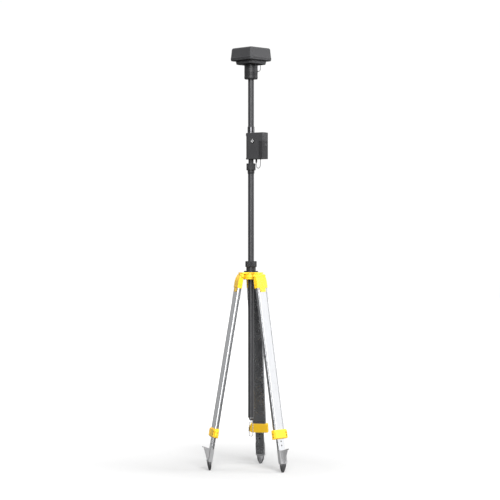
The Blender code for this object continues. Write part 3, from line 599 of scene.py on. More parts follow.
def circuit_board(name, colour):
    """Solder mask over copper tracks on a grid, with tinned pads."""
    look = Surface(name, colour, 0.34)
    cells = look.node("TexBrick", {"Vector": look.here, "Scale": 240.0, "Mortar Size": 0.03})
    look.tint(look.math("MULTIPLY", cells.outputs["Fac"], 0.7), lighter(colour, 2.2))
    spots = look.node("TexVoronoi", {"Vector": look.here, "Scale": 170.0}).outputs["Distance"]
    look.tint(look.between(spots, 0.16, 0.12, 0.9), (0.70, 0.68, 0.62))
    look.relief(cells.outputs["Fac"], 0.00004)
    return look.finished()


def fired_ceramic(name, colour):
    look = Surface(name, colour, 0.42)
    look.tint(look.between(look.noise(420.0, detail=5.0), 0.5, 0.8, 0.5), lighter(colour, 0.72))
    look.relief(look.noise(900.0), 0.00005)
    return look.finished()


def enamel(name, colour):
    """Badge enamel, a little uneven and dull at its edges."""
    look = Surface(name, colour, 0.18)
    look.tint(look.between(look.noise(160.0), 0.5, 0.8, 0.3), lighter(colour, 0.88))
    look.tint(look.edges(0.0006, 0.5), (0.55, 0.56, 0.58))
    look.relief(look.noise(300.0), 0.00002)
    return look.finished({"Coat Weight": 0.4, "Coat Roughness": 0.08})


def smoked_window(name, colour):
    """Dark glossy window with the faint dots of the lamps behind it."""
    look = Surface(name, colour, 0.07)
    dots = look.node("TexVoronoi", {"Vector": look.here, "Scale": 160.0, "Randomness": 0.0})
    look.tint(look.between(dots.outputs["Distance"], 0.22, 0.16, 0.6), (0.05, 0.20, 0.08))
    look.relief(look.noise(180.0), 0.00001)
    return look.finished()


def studio_floor(name, colour):
    """Matt painted floor, a touch uneven, that glows to white a few metres out."""
    look = Surface(name, colour, 0.8)
    look.tint(look.between(look.noise(1.3), 0.4, 0.7, 0.5), lighter(colour, 0.98))
    look.relief(look.noise(300.0), 0.0001)
    reach = look.node("VectorMath", {0: look.here}, operation="LENGTH").outputs["Value"]
    limits = {"Value": reach, "From Min": 0.4, "From Max": 3.5, "To Min": 0.12, "To Max": 1.05}
    glow = look.node("MapRange", limits)
    look.tree.links.new(glow.outputs[0], look.shader.inputs["Emission Strength"])
    return look.finished({"Emission Color": (1.0, 1.0, 1.0, 1.0), "Specular IOR Level": 0.0})


FINISHES = (
    (moulded, "black_plastic", (0.034, 0.034, 0.036), 0.44),
    (moulded, "grey_plastic", (0.034, 0.034, 0.036), 0.48),
    (moulded, "battery_grey", (0.021, 0.021, 0.022), 0.58),
    (carbon_tube, "pole_black", (0.026, 0.026, 0.028)),
    (rubber_skin, "rubber", (0.020, 0.020, 0.021)),
    (moulded, "satin_black", (0.019, 0.019, 0.020), 0.27),
    # deep_black also paints the shadow beside the badge
    (dull_black, "deep_black", (0.004, 0.004, 0.004)),
    (scratched_steel, "black_chrome", (0.20, 0.20, 0.21), 0.12, 0.2),
    (scratched_steel, "tip_steel", (0.34, 0.34, 0.35), 0.40, 0.3),
    (enamel, "badge_grey", (0.13, 0.13, 0.135)),
    (cable_jacket, "cable", (0.050, 0.051, 0.053)),
    (powder_coat, "yellow", (0.93, 0.57, 0.020)),
    (extruded_metal, "aluminium", (0.74, 0.75, 0.77)),
    (cast_metal, "cast_metal", (0.36, 0.36, 0.365)),
    (scratched_steel, "dark_steel", (0.16, 0.16, 0.17), 0.34, 0.7),
    (scratched_steel, "bright_steel", (0.66, 0.66, 0.68), 0.20, 0.2),
    (turned_brass, "brass", (0.76, 0.56, 0.26)),
    (circuit_board, "circuit_board", (0.015, 0.12, 0.05)),
    (fired_ceramic, "ceramic", (0.74, 0.70, 0.60)),
    (enamel, "badge_white", (0.42, 0.42, 0.42)),
    (smoked_window, "dark_window", (0.010, 0.010, 0.012)),
)
LOOKS = {name: make(name, *values) for make, name, *values in FINISHES}


# ------------------------------------------------------------------ camera, light and floor


def set_camera():
    """Level with the middle of the object, from the front, with a long lens."""
    data = bpy.data.cameras.new("camera")
    data.sensor_width = 36.0
    data.lens = 122.4
    camera = placed("camera", data)
    camera.location = (-0.0052, -8.84, 1.137)
    camera.rotation_euler = (math.pi / 2, 0.0, 0.0)
    bpy.context.scene.camera = camera


def add_light(name, power, place):
    """A softbox that faces the middle of the object."""
    data = bpy.data.lights.new(name, "AREA")
    data.size = SOFTBOX
    data.energy = power
    light = placed(name, data)
    light.location = place
    light.rotation_euler = (Vector((0.0, 0.0, 1.1)) - light.location).to_track_quat("-Z", "Y").to_euler()
    light.visible_glossy = False


def set_world():
    """White behind the object for the camera. Reflections see a dark studio with bright cards in it.

    A card is its lowest and highest azimuth, the heights of its lower and upper edge, the blur of those two
    edges and its brightness. Two cards stand in front and one at the right.
    """
    world = bpy.data.worlds.new("studio")
    world.use_nodes = True
    world.node_tree.nodes.clear()
    room = Graph(world.node_tree)
    axes = room.node("SeparateXYZ", {0: room.node("TexCoord").outputs["Generated"]}).outputs
    front = room.math("MULTIPLY", axes["Y"], -1.0)
    azimuth = room.math("ARCTAN2", axes["X"], front)  # 0 towards the front, and growing to the right

    def band(value, low, high, blur):
        rising = room.between(value, low - blur, low + blur)
        falling = room.between(value, high + blur, high - blur)
        return room.math("MULTIPLY", rising, falling)

    behind = room.between(axes["Y"], -0.3, 1.0, 0.40)
    overhead = room.between(axes["Z"], 0.1, 0.9, 0.35)
    light = room.math("ADD", room.math("ADD", behind, overhead), 0.12)
    cards = (
        (-0.34, 0.40, 0.03, 0.65, 0.02, 4.0),
        (-0.34, 0.04, -0.17, 0.03, 0.02, 4.0),
        (1.30, 2.00, -0.17, 0.55, 0.05, 1.08),
    )
    for low, high, bottom, top, blur, radiance in cards:
        card = room.math("MULTIPLY", band(azimuth, low, high, 0.08), band(axes["Z"], bottom, top, blur))
        light = room.math("ADD", light, room.math("MULTIPLY", card, radiance))
    above = room.between(axes["Z"], -0.24, -0.12)
    light = room.node("MapRange", {"Value": above, "To Min": 0.07, "To Max": light}).outputs[0]
    for_camera = room.node("LightPath").outputs["Is Camera Ray"]
    light = room.node("MapRange", {"Value": for_camera, "To Min": light, "To Max": 1.02}).outputs[0]
    back = room.node("Background", {"Color": (1.0, 1.0, 1.0, 1.0), "Strength": light})
    room.node("OutputWorld", {"Surface": back.outputs[0]})
    bpy.context.scene.world = world
    bpy.context.scene.view_settings.view_transform = "Standard"


def set_lights():
    """Softboxes that light without being mirrored: the world's cards do the mirroring."""
    add_light("fill", 420.0, (1.0, -4.6, 4.4))
    add_light("right", 125.0, (4.2, -0.8, 2.6))
    add_light("left", 50.0, (-4.0, -1.4, 4.0))
    add_light("top", 60.0, (0.4, -0.4, 5.0))


def add_floor():
    """A pale floor that fades to the white of the background a few metres out."""
    bm = bmesh.new()
    bmesh.ops.create_grid(bm, x_segments=1, y_segments=1, size=FLOOR_REACH)
    floor = new_piece("floor", bm)
    floor.data.materials.append(studio_floor("floor_paint", (0.44, 0.44, 0.44)))
    floor.visible_diffuse = False
    floor.visible_glossy = False


# ------------------------------------------------------------------ leads


def add_lead(node, route, place):
    """A short lead between two housings, along the route that its CAD solid has."""
    points = smooth_route(route, 8)
    lead = stand_for(swept(f"fine_{node}", points, LEAD_RADIUS, place), node)


def add_leads():
    add_lead(
        "head_cable",
        [
            (0.0494, -0.004, 2.1000), (0.0494, -0.004, 2.0920), (0.0494, -0.004, 2.0830),
            (0.0484, -0.004, 2.0745), (0.0448, -0.004, 2.0680), (0.0402, -0.004, 2.0655),
            (0.0352, -0.004, 2.0650),
        ],
        WORLD,
    )
    add_lead(
        "box_cable",
        [
            (0.0337, 0.0, 1.5882), (0.0332, 0.0, 1.5800), (0.0344, 0.0, 1.5715), (0.0392, 0.0, 1.5640),
            (0.0462, 0.0, 1.5612), (0.0530, 0.0, 1.5640), (0.0578, 0.0, 1.5715), (0.0597, 0.0, 1.5820),
            (0.0600, 0.0, 1.5950), (0.0600, 0.0, 1.6077),
        ],
        BOX,
    )


# ------------------------------------------------------------------ fasteners and grips


def screw(radius, height):
    """A rounded screw head with a hexagon socket, standing on z = 0."""
    dome = [(0.0, height, 0.0), (radius, height, height * 0.6), (radius, 0.0, 0.0), (0.0, 0.0, 0.0)]
    head = turned("screw", filleted(dome), sides=32)
    socket = rod("socket", radius * 0.5, (0.0, 0.0, height * 0.4), (0.0, 0.0, height * 2.0), sides=6)
    return cut(head, socket)


def grooved(radius, heights, depth, width):
    """Corners of shallow grooves down the outer side of a turned outline."""
    slope = width * 0.25
    corners = []
    for height in heights:
        corners += [
            (radius, height, 0.0003), (radius - depth, height - slope, 0.0003),
            (radius - depth, height - width + slope, 0.0003), (radius, height - width, 0.0003),
        ]
    return corners


def with_rows(outline, radius, count):
    """Splits the longer steps of an outline outside a radius, so that flutes can fade out on them."""
    made = []
    for i, (r, z) in enumerate(outline):
        next_r, next_z = outline[(i + 1) % len(outline)]
        made.append((r, z))
        if min(r, next_r) > radius and abs(next_z - z) > 0.002:
            made += [(r + (next_r - r) * k / count, z + (next_z - z) * k / count) for k in range(1, count)]
    return made


def flutes(count, depth, low, high, inner, sharpness=3.0):
    """A warp that cuts rounded flutes into a turned piece, outside a radius and between two heights."""

    def warp(angle, radius, height):
        wave = (0.5 + 0.5 * math.cos(count * angle)) ** sharpness
        fade = min(1.0, max(0.0, (height - low) / 0.002), max(0.0, (high - height) / 0.002))
        return radius - depth * wave * fade if radius > inner else radius

    return warp


# ------------------------------------------------------------------ antenna head


def square_ring(half, corner, height):
    return [(x, y, height) for x, y in rounded_rectangle(half, half, corner, steps=10)]


def build_cover():
    """The radome: a lip at the seam, leaning sides, a rounded top edge and a groove round the crown."""
    low, high = extent("radome_cover", HEAD)
    half = high.x
    corner = 0.0115
    lip = 0.0010
    lean = 0.0040
    edge = 0.0100
    crown = 0.0014
    foot = low.z + 0.0060
    shoulder = high.z - crown - edge
    rings = [
        square_ring(half - 0.0005, corner, low.z), square_ring(half, corner, low.z + 0.0005),
        square_ring(half, corner, foot - 0.0008),
    ]
    for share in (0.0, 0.33, 0.66):
        rings.append(square_ring(half - lip - (lean - lip) * share, corner, foot + (shoulder - foot) * share))
    for x, z in arc((0.0, 0.0), edge, 0.0, 90.0, 8):
        inset = lean + edge - x
        rings.append(square_ring(half - inset, corner - 0.6 * (inset - lean), shoulder + z))
    inner = half - lean - edge
    groove = ((0.90, 0.10), (0.89, 0.10), (0.885, -0.25), (0.865, -0.25), (0.86, 0.14), (0.85, 0.14))
    for share, rise in groove:
        rings.append(square_ring(inner * share, 0.0055 * share, high.z - crown * (1.0 - rise)))
    for share in (0.6, 0.35, 0.12):
        rings.append(square_ring(inner * share, 0.0055 * share, high.z - crown * share**2))
    cover = lofted("fine_radome_cover", rings, HEAD, low_end=False)
    stand_for(walled(cover, 0.0025), "radome_cover")


def build_gasket():
    low, high = extent("radome_gasket", HEAD)
    inside = high.x - 0.0030
    gasket = extruded("fine_radome_gasket", rounded_rectangle(high.x, high.x, 0.0100), low.z, high.z, HEAD)
    opening = rounded_rectangle(inside, inside, 0.0070)
    cut(gasket, extruded("opening", opening, low.z - 0.001, high.z + 0.001, HEAD))
    stand_for(gasket, "radome_gasket")


def cable_way(level):
    """The hole under the head that its lead starts in."""
    return rod("cable_way", 0.0100, (0.0, 0.0, level - 0.010), (0.0, 0.0, level + 0.010))


def build_base():
    """The tray under the radome, with a shadow line under its rim and the bosses of its board."""
    low, high = extent("antenna_base", HEAD)
    rim = extent("radome_gasket", HEAD)[0].z - 0.0003
    half = high.x
    corner = 0.0115
    edge = 0.0055
    shadow = 0.0009
    rings = [
        square_ring(half, corner, rim), square_ring(half, corner, rim - 0.0026),
        square_ring(half - shadow, corner, rim - 0.0030), square_ring(half - shadow, corner, low.z + edge),
    ]
    for x, z in arc((0.0, 0.0), edge, 0.0, -90.0, 6)[1:]:
        inset = shadow + edge - x
        rings.append(square_ring(half - inset, corner - 0.7 * inset, low.z + edge + z))
    under = half - shadow - edge
    for inset, lift in ((0.0040, 0.0), (0.0046, 0.0007), (0.0062, 0.0007), (0.0068, 0.0), (0.0200, 0.0)):
        rings.append(square_ring(under - inset, 0.0070, low.z + lift))
    base = walled(lofted("fine_antenna_base", rings, HEAD, low_end=False), 0.0025)
    bosses = []
    for x, y in arc((0.0, 0.0), 0.062, 0.0, 270.0, 3):
        bosses.append(rod("boss", 0.0035, (x, y, low.z + 0.0010), (x, y, high.z), sides=24))
    stand_for(cut(join(base, *bosses), cable_way(low.z)), "antenna_base")


def build_plinth():
    """A square with cut corners and a rounded lower edge, stepped in from the base above it."""
    low, high = extent("base_plinth", HEAD)
    half = high.x
    step = math.sqrt(2.0) * 0.078 - half
    corners = [
        (half, -step), (half, step), (step, half), (-step, half),
        (-half, step), (-half, -step), (-step, -half), (step, -half),
    ]
    outline = filleted(corners, 6, 0.0060)
    edge = 0.0050

    def ring(inset, height):
        share = 1.0 - inset / half
        return [(x * share, y * share, height) for x, y in outline]

    rings = [ring(0.0004, high.z), ring(0.0, high.z - 0.0004), ring(0.0, high.z - 0.0080)]
    rings += [ring(0.0012, high.z - 0.0088), ring(0.0012, low.z + edge)]
    rings += [ring(0.0012 + edge - x, low.z + edge + z) for x, z in arc((0.0, 0.0), edge, 0.0, -90.0, 6)[1:]]
    plinth = walled(lofted("fine_base_plinth", rings, HEAD, low_end=False), 0.0025)
    stand_for(cut(plinth, cable_way(low.z)), "base_plinth")


def build_neck():
    """The pole's socket. Its turning ring sits in a step round its lower half."""
    low, high = extent("neck_housing")
    ring_low, ring_high = extent("neck_ring")
    radius = ring_high.x
    waist = radius - 0.0040
    wall = radius - 0.0002
    floor = 2.0760
    outline = [(waist, high.z, 0.0), (radius + 0.0006, high.z, 0.0004)]
    outline += [(radius + 0.0006, high.z - 0.0034, 0.0020), (wall, high.z - 0.0060, 0.0030)]
    outline += grooved(wall, [high.z - 0.0150], 0.0008, 0.0024)
    outline += [(wall, ring_high.z + 0.0003, 0.0006), (waist, ring_high.z + 0.0003, 0.0)]
    outline += [(waist, ring_low.z - 0.0003, 0.0), (radius - 0.0006, ring_low.z - 0.0003, 0.0006)]
    outline += [(radius - 0.0010, low.z, 0.0048), (POLE_BORE, low.z, 0.0010)]
    outline += [(POLE_BORE, floor, 0.0), (waist, floor, 0.0)]
    stand_turned("neck_housing", outline, 5, "satin_black")
    inside = radius - 0.0036
    pitch = 0.0039
    ribs = [ring_high.z - 0.0030 - pitch * i for i in range(5)]
    outline = [(inside, ring_high.z, 0.0), (radius, ring_high.z, 0.0007)]
    outline += grooved(radius, ribs, 0.0011, 0.0026)
    outline += [(radius, ring_low.z, 0.0007), (inside, ring_low.z, 0.0)]
    stand_turned("neck_ring", outline, 3, "satin_black")


def build_head_fittings():
    """The head lead's two glands and the four screws under the base."""
    plinth = extent("base_plinth")[0].z
    neck = extent("neck_ring")[1].x
    gland = [
        (LEAD_RADIUS + 0.0001, 0.0), (0.0038, 0.0), (0.0036, 0.0014, 0.0008), (0.0024, 0.0034, 0.0008),
        (LEAD_RADIUS + 0.0001, 0.0034),
    ]
    sites = (
        ("plinth_gland", Matrix.Translation((0.0494, -0.004, plinth)) @ UPSIDE_DOWN),
        ("neck_gland", Matrix.Translation((neck - 0.0008, -0.004, 2.0650)) @ ACROSS_X),
    )
    for name, place in sites:
        trim(turned(name, filleted(gland), place, 40), "receiver", "rubber")
    reach = 0.0645
    under = extent("antenna_base", HEAD)[0].z
    places = [shifted(HEAD, x, y, under) @ UPSIDE_DOWN for x in (-reach, reach) for y in (-reach, reach)]
    trim(copies("base_screws", screw(0.0034, 0.0012), places), "receiver", "dark_steel")


# ------------------------------------------------------------------ poles and their coupling


def build_poles():
    """Both tubes, the grooved sleeve over the upper one's foot and the stub under it."""
    for node in ("upper_pole", "lower_pole"):
        low, high = extent(node)
        bore = high.x - 0.0015
        corners = ((high.x, high.z), (high.x, low.z), (bore, low.z), (bore, high.z))
        stand_turned(node, [(*corner, 0.0004) for corner in corners], 3, sides=80)
    low, high = extent("pole_sleeve")
    outline = [(POLE_BORE, high.z, 0.0), (high.x - 0.0014, high.z, 0.0006), (high.x, high.z - 0.0022, 0.0008)]
    outline += grooved(high.x, (high.z - 0.0060, low.z + 0.0080), 0.0006, 0.0018)
    outline += [(high.x, low.z, 0.0004), (POLE_BORE, low.z, 0.0)]
    stand_turned("pole_sleeve", outline, 3, "black_chrome")
    low, high = extent("upper_pole_stub")
    outline = [(0.0, high.z), (high.x, high.z, 0.001), (high.x, low.z, 0.001), (0.0, low.z)]
    stand_turned("upper_pole_stub", outline, look="satin_black", sides=72)


def build_coupling():
    """The fluted nut, and the tapered collar it turns on."""
    low, high = extent("coupling_nut")
    radius = high.x
    bore = 0.0139
    spigot = 0.0176
    shelf = 1.5760
    fluted = 0.0215
    outline = [
        (bore, high.z, 0.0004), (0.0192, high.z, 0.0004), (0.0198, high.z - 0.0007, 0.0004),
        (0.0206, high.z - 0.0001, 0.0004), (radius, high.z - 0.0004, 0.0036), (radius, low.z, 0.0034),
        (spigot, low.z, 0.0004), (spigot, shelf), (bore, shelf),
    ]
    levels = with_rows(filleted(outline, 6), fluted, 12)
    grip = flutes(16, 0.0012, low.z + 0.0030, high.z - 0.0030, fluted)
    nut = turned("fine_coupling_nut", levels, sides=192, warp=grip)
    stand_for(nut, "coupling_nut", "satin_black")
    seam = low.z - 0.0003
    low, high = extent("coupling_collar")
    bore = 0.0138
    rim = 0.0182
    socket = 0.0158
    seat = extent("lower_pole")[1].z + 0.0003
    outline = [(bore, high.z), (0.0172, high.z, 0.0006), (0.0172, seam), (rim, seam, 0.0005)]
    outline += grooved(rim, (seam - 0.0048,), 0.0007, 0.0026)
    outline += [(rim, low.z + 0.0090, 0.0020), (0.0164, low.z, 0.0005), (socket, low.z)]
    outline += [(socket, seat), (bore, seat)]
    stand_turned("coupling_collar", outline, look="satin_black")


def build_pole_end():
    """The cap in the pole's lower end, the eye under it and the snap hook in the eye."""
    low, high = extent("pole_end_cap")
    inside = extent("lower_pole")[1].x - 0.0018
    lip = extent("lower_pole")[0].z - 0.0003
    shank = 0.0033
    shank_end = 0.2720
    outline = [
        (0.0, high.z), (inside, high.z, 0.0008), (inside, lip), (0.0125, lip, 0.0005),
        (0.0125, lip - 0.0022, 0.0006), (0.0112, lip - 0.0028, 0.0004), (0.0112, lip - 0.0040, 0.0006),
        (0.0070, low.z, 0.0012), (shank, low.z, 0.0004), (shank, shank_end), (0.0, shank_end),
    ]
    stand_turned("pole_end_cap", outline, 5)
    axis = JOINTS["hook_ring_swing"]["pos_m"][2]
    eye_top = low.z - 0.0003
    outline = [(-0.0055, eye_top), *arc((0.0, axis), 0.0058, 180.0, 360.0, 24), (0.0055, eye_top)]
    eye = soften(extruded("fine_hook_eye", outline, -0.002, 0.002, axis=0), 0.0007)
    eye = join(eye, rod("eye_shank", 0.0030, (0.0, 0.0, eye_top - 0.002), (0.0, 0.0, 0.2700), sides=32))
    stand_for(cut(eye, rod("eye_hole", 0.0026, (-0.01, 0.0, axis), (0.01, 0.0, axis), sides=40)), "hook_eye")
    build_hook(axis)


def build_hook(axis):
    """A long snap hook: a closed loop of wire with a sleeve on the gate side."""
    low, high = extent("hook_ring")
    wire = 0.0020
    half = high.x - wire
    top = axis - half
    bottom = low.z + wire + half
    loop = arc((0.0, top), half, 0.0, 180.0, 24) + arc((0.0, bottom), half, 180.0, 360.0, 24)
    loop = [(x, 0.0, z) for x, z in loop]
    stand_for(swept("fine_hook_ring", loop, wire, closed=True, resolution=6), "hook_ring")
    upper = [
        (wire - 0.0001, 0.0110, 0.0), (0.0029, 0.0110, 0.0006), (0.0031, 0.0040, 0.0004),
        (0.0029, 0.0034, 0.0003),
    ]
    sleeve = upper + [(r, -z, rounding) for r, z, rounding in reversed(upper)]
    place = Matrix.Translation((-half, 0.0, (top + bottom) / 2))
    trim(turned("hook_gate_sleeve", filleted(sleeve, 3), place, 40), "hook_ring", "dark_steel")


# ------------------------------------------------------------------ receiver box


def smooth_step(value, table):
    """A value from a table of (place, value) pairs, eased between them."""
    for (start, before), (end, after) in zip(table, table[1:]):
        if value <= end:
            share = (value - start) / (end - start)
            return before + (after - before) * share * share * (3.0 - 2.0 * share)
    return table[-1][1]


def slab(name, low, high, radius, axis):
    """A piece between two corners in the box's frame, with the edges along an axis rounded."""
    across = [i for i in range(3) if i != axis]
    halves = [(high[i] - low[i]) / 2 for i in across]
    middle = [(high[i] + low[i]) / 2 for i in across]
    return extruded(name, rounded_rectangle(*halves, radius, middle), low[axis], high[axis], BOX, axis)


def far_corners(inset=0.0):
    """The two rounded corners of the box's far end, from above."""
    x, y, radius = BOX_CORNER
    return arc((x, -y), radius - inset, 270.0, 360.0, 8) + arc((x, y), radius - inset, 0.0, 90.0, 8)


def box_outline(inset, flare):
    """The box from above: a half circle round the pole and two rounded corners at its far end."""
    half_circle = arc((0.0, 0.0), BOX_DEPTH - inset, 90.0, 270.0, 40)
    return [(x * flare, y) for x, y in half_circle] + far_corners(inset)


def box_body(name):
    """The whole box, with a rim round the pole at its top and its bottom and soft edges."""
    low = extent("box_front_shell")[0].z
    high = extent("box_front_shell")[1].z
    edge = 0.0015
    rims = (
        (low, 1.12), (low + 0.0060, 1.12), (low + 0.0090, 1.0), (high - 0.0190, 1.0), (high - 0.0130, 1.12),
        (high - 0.0050, 1.12), (high, 1.06),
    )
    under = (0.0192, 0.0180, 0.0168, 0.0156, 0.0144, 0.0132, 0.0050, 0.0030)
    heights = [(low + edge - z, edge - x) for x, z in reversed(arc((0.0, 0.0), edge, 0.0, 90.0, 4))]
    heights += [(low + step, 0.0) for step in (0.0055, 0.0063, 0.0070, 0.0075, 0.0080, 0.0087, 0.0092)]
    heights += [(high - step, 0.0) for step in under]
    heights += [(high - edge + z, edge - x) for x, z in arc((0.0, 0.0), edge, 0.0, 90.0, 4)]
    rings = []
    for height, inset in heights:
        outline = box_outline(inset, smooth_step(height, rims))
        rings.append([(x, y, height) for x, y in outline])
    return lofted(name, rings, BOX)


def button_and_window():
    """What the rear shell leaves open: the button's hole with a groove round it, and the window."""
    x, z = BUTTON
    groove = [(0.0064, -0.0006), (0.0064, 0.001), (0.0072, 0.001), (0.0072, -0.0006)]
    return [
        rod("button_hole", 0.0054, (x, 0.0150, z), (x, 0.0300, z), BOX),
        slab("window_hole", (0.0430, 0.0200, 1.7160), (0.0670, 0.0300, 1.7240), 0.0038, 1),
        turned("button_groove", groove, shifted(BOX, x, BOX_DEPTH, z) @ ACROSS_Y, 64),
    ]


def build_shells():
    """The two halves of the box, with the battery's notch, the bore and the hollows cut out of them."""
    inside = BOX_DEPTH - 0.0025
    low = extent("box_front_shell")[0].z
    high = extent("box_front_shell")[1].z
    notch = extent("battery_cap")[1].z + 0.0004
    roof = high - 0.0025
    for node, side in (("box_front_shell", 1), ("box_rear_shell", -1)):
        near, far = sorted((side * 0.100, -side * 0.00015))
        cutters = [
            block("other_half", (-0.1, near, 1.5), (0.2, far, 1.9), place=BOX),
            rod("bore", POLE_BORE, (0.0, 0.0, 1.5), (0.0, 0.0, 1.9), BOX, 80),
            block("cavity", (0.0190, -inside, low + 0.0025), (0.0612, inside, roof), place=BOX),
            block("top_cavity", (0.0600, -inside, notch + 0.0025), (0.0905, inside, roof), place=BOX),
            block("notch", (0.0639, -0.040, 1.590), (0.120, 0.040, notch), place=BOX),
            block("battery_way", (0.0600, -0.0180, 1.6180), (0.0700, 0.0180, 1.6920), place=BOX),
        ]
        if side < 0:
            cutters += button_and_window()
        shell = cut(box_body(f"fine_{node}"), *cutters)
        stand_for(soften(shell, 0.0003, 2, 50.0), node)


def build_button():
    """A dished button with a foot that stays behind the shell, and the window beside it."""
    outline = [
        (0.0, 0.0250), (0.0050, 0.0250, 0.0006), (0.0050, 0.0217), (0.0064, 0.0217, 0.0002),
        (0.0064, 0.0203, 0.0002), (0.0, 0.0203),
    ]
    place = shifted(BOX, BUTTON[0], 0.0, BUTTON[1]) @ ACROSS_Y
    button = turned("fine_power_button", filleted(outline), place, 48)
    dish = rod("dish", 0.0030, (0.0, 0.0, 0.0247), (0.0, 0.0, 0.0260), place)
    stand_for(soften(cut(button, dish), 0.0002, 2), "power_button")
    window = slab("fine_status_window", *extent("status_window", BOX), 0.0036, 1)
    stand_for(soften(window, 0.0004), "status_window")


def build_box_fittings():
    """Button, window, badge, the screws in the rear shell, and the box lead's gland and plug."""
    build_button()
    build_badge()
    facing_back = shifted(BOX, y=BOX_DEPTH - 0.0004) @ ACROSS_Y
    sites = [shifted(facing_back, x, -z) for x in (0.0240, 0.0570) for z in (1.6180, 1.7350)]
    trim(copies("box_screws", screw(0.0026, 0.0008), sites), "receiver", "dark_steel")
    gland = [
        (LEAD_RADIUS + 0.0001, 0.0), (0.0034, 0.0), (0.0034, 0.0012, 0.0006), (0.0026, 0.0030, 0.0006),
        (LEAD_RADIUS + 0.0001, 0.0030),
    ]
    place = shifted(BOX, 0.0600, 0.0, extent("box_front_shell")[0].z) @ UPSIDE_DOWN
    trim(turned("box_gland", filleted(gland), place, 40), "receiver", "rubber")
    low, high = extent("cable_plug")
    radius = 0.0048
    plug = [(0.0, high.z), (radius, high.z, 0.0004)]
    plug += grooved(radius, [high.z - 0.0010 - 0.0017 * i for i in range(4)], 0.0005, 0.0009)
    plug += [(radius, 1.5985, 0.0006), (0.0042, 1.5975, 0.0004), (0.0042, 1.5940, 0.0010)]
    plug += [(0.0028, low.z, 0.0006), (0.0, low.z)]
    stand_turned("cable_plug", plug, 3, place=shifted(BOX, 0.0337), sides=48)


def diamond(name, half_width, half_height, radius, middle, near, far):
    """A diamond that stands in the box's flank, between two depths."""
    x, z = middle
    corners = [(x + half_width, z), (x, z + half_height), (x - half_width, z), (x, z - half_height)]
    return extruded(name, filleted(corners, radius=radius), near, far, BOX, axis=1)


def build_badge():
    """A blank grey field in a light frame, on a black backing set off to its lower right: partly a backing,
    partly painted shadow of the badge in deep matte black.
    """
    low, high = extent("badge", BOX)
    across = (low.x + high.x) / 2
    up = (low.z + high.z) / 2
    face = low.y + 0.0012
    # Painted shadow: the backing's offset to the lower right and its deep matte black stand in for the
    # badge's shadow.
    shadow_backing = diamond("badge_shadow_backing", 0.0114, 0.0124, 0.0016, (across + 0.0036, up - 0.0006), face, high.y)
    trim(soften(shadow_backing, 0.0005), "receiver", "black_plastic", "deep_black")
    middle = (across + 0.0016, up + 0.0008)
    plate = diamond("fine_badge", 0.0096, 0.0106, 0.0012, middle, low.y, face)
    well = diamond("well", 0.0053, 0.0060, 0.0006, middle, low.y - 0.001, low.y + 0.0004)
    stand_for(soften(cut(plate, well), 0.0002, 2), "badge")
    field = diamond("badge_field", 0.0050, 0.0057, 0.0006, middle, low.y + 0.0001, low.y + 0.0004)
    trim(field, "receiver", "badge_white", "badge_grey")


def build_battery_cap():
    """The cap, with a shadow line at its end, a pocket for the latch and grips in both flanks."""
    low, high = extent("battery_cap", BOX)
    outline = [(low.x, BOX_DEPTH), (low.x, -BOX_DEPTH), *far_corners()]
    cap = soften(extruded("fine_battery_cap", outline, low.z, high.z, BOX), 0.0011, 3, 50.0)
    cutters = []
    for side in (-1, 1):
        near, far = sorted((side * GRIP_DEPTH, side * 0.040))
        cutters.append(slab("recess", (0.0560, near, 1.6120), (0.0852, far, 1.6960), 0.0030, 1))
    cutters.append(block("end_seam", (0.0900, -0.0174, 1.6120), (0.1, -0.0166, 1.6960), place=BOX))
    cutters.append(slab("latch_pocket", (0.0885, -0.0120, 1.6740), (0.1100, 0.0120, 1.6900), 0.0030, 0))
    stand_for(soften(cut(cap, *cutters), 0.0003, 2, 50.0), "battery_cap", "battery_grey")
    ribs = []
    for y in (-GRIP_DEPTH, GRIP_DEPTH):
        for i in range(14):
            z = 1.6260 + 0.0042 * i
            ends = ((0.0680, y - 0.0006, z - 0.0007), (0.0820, y + 0.0006, z + 0.0007))
            ribs.append(block("grip", *ends, 0.0005, BOX))
    trim(copies_in("battery_grips", ribs), "battery", "grey_plastic", "battery_grey")


def build_battery():
    """The battery with its contacts, its cap, and the latch in the cap's end."""
    build_battery_cap()
    low, high = extent("battery_pack", BOX)
    pack = soften(slab("fine_battery_pack", low, high, 0.0020, 0), 0.0006)
    wells = []
    contacts = []
    for y in (-0.0096, -0.0032, 0.0032, 0.0096):
        ends = ((low.x - 0.001, y - 0.0022, 1.6400), (low.x + 0.0006, y + 0.0022, 1.6520))
        wells.append(block("well", *ends, place=BOX))
        ends = ((low.x + 0.0001, y - 0.0017, 1.6405), (low.x + 0.0007, y + 0.0017, 1.6515))
        contacts.append(block("contact", *ends, 0.0002, BOX))
    stand_for(cut(pack, *wells), "battery_pack")
    trim(copies_in("battery_contacts", contacts), "battery", "brass")
    low, high = extent("battery_latch", BOX)
    latch = soften(slab("fine_battery_latch", low, high, 0.0027, 0), 0.0006)
    grips = []
    for i in range(5):
        z = 1.6772 + 0.0024 * i
        ends = ((high.x - 0.0006, -0.0080, z - 0.0006), (high.x + 0.001, 0.0080, z + 0.0006))
        grips.append(block("notch", *ends, place=BOX))
    stand_for(cut(latch, *grips), "battery_latch")


# ------------------------------------------------------------------ tripod head


def crown_outline(inset):
    """The head's plate from above: a disc with three broad arms."""
    half = 0.0320 - inset
    end = 0.0600 - inset
    disc = 0.0460 - inset
    edge = math.degrees(math.asin(half / disc))
    outline = []
    for leg in LEGS:
        turn = Matrix.Rotation(ARM_FRAMES[leg].to_euler().z, 2)
        arm = [(end, -half, 0.0065), (end, half, 0.0065)]
        arm += [(x, y, 0.0) for x, y in arc((0.0, 0.0), disc, edge + 3.0, 117.0 - edge, 10)]
        outline += [(*(turn @ Vector((x, y))), radius) for x, y, radius in arm]
    return filleted(outline, 6)


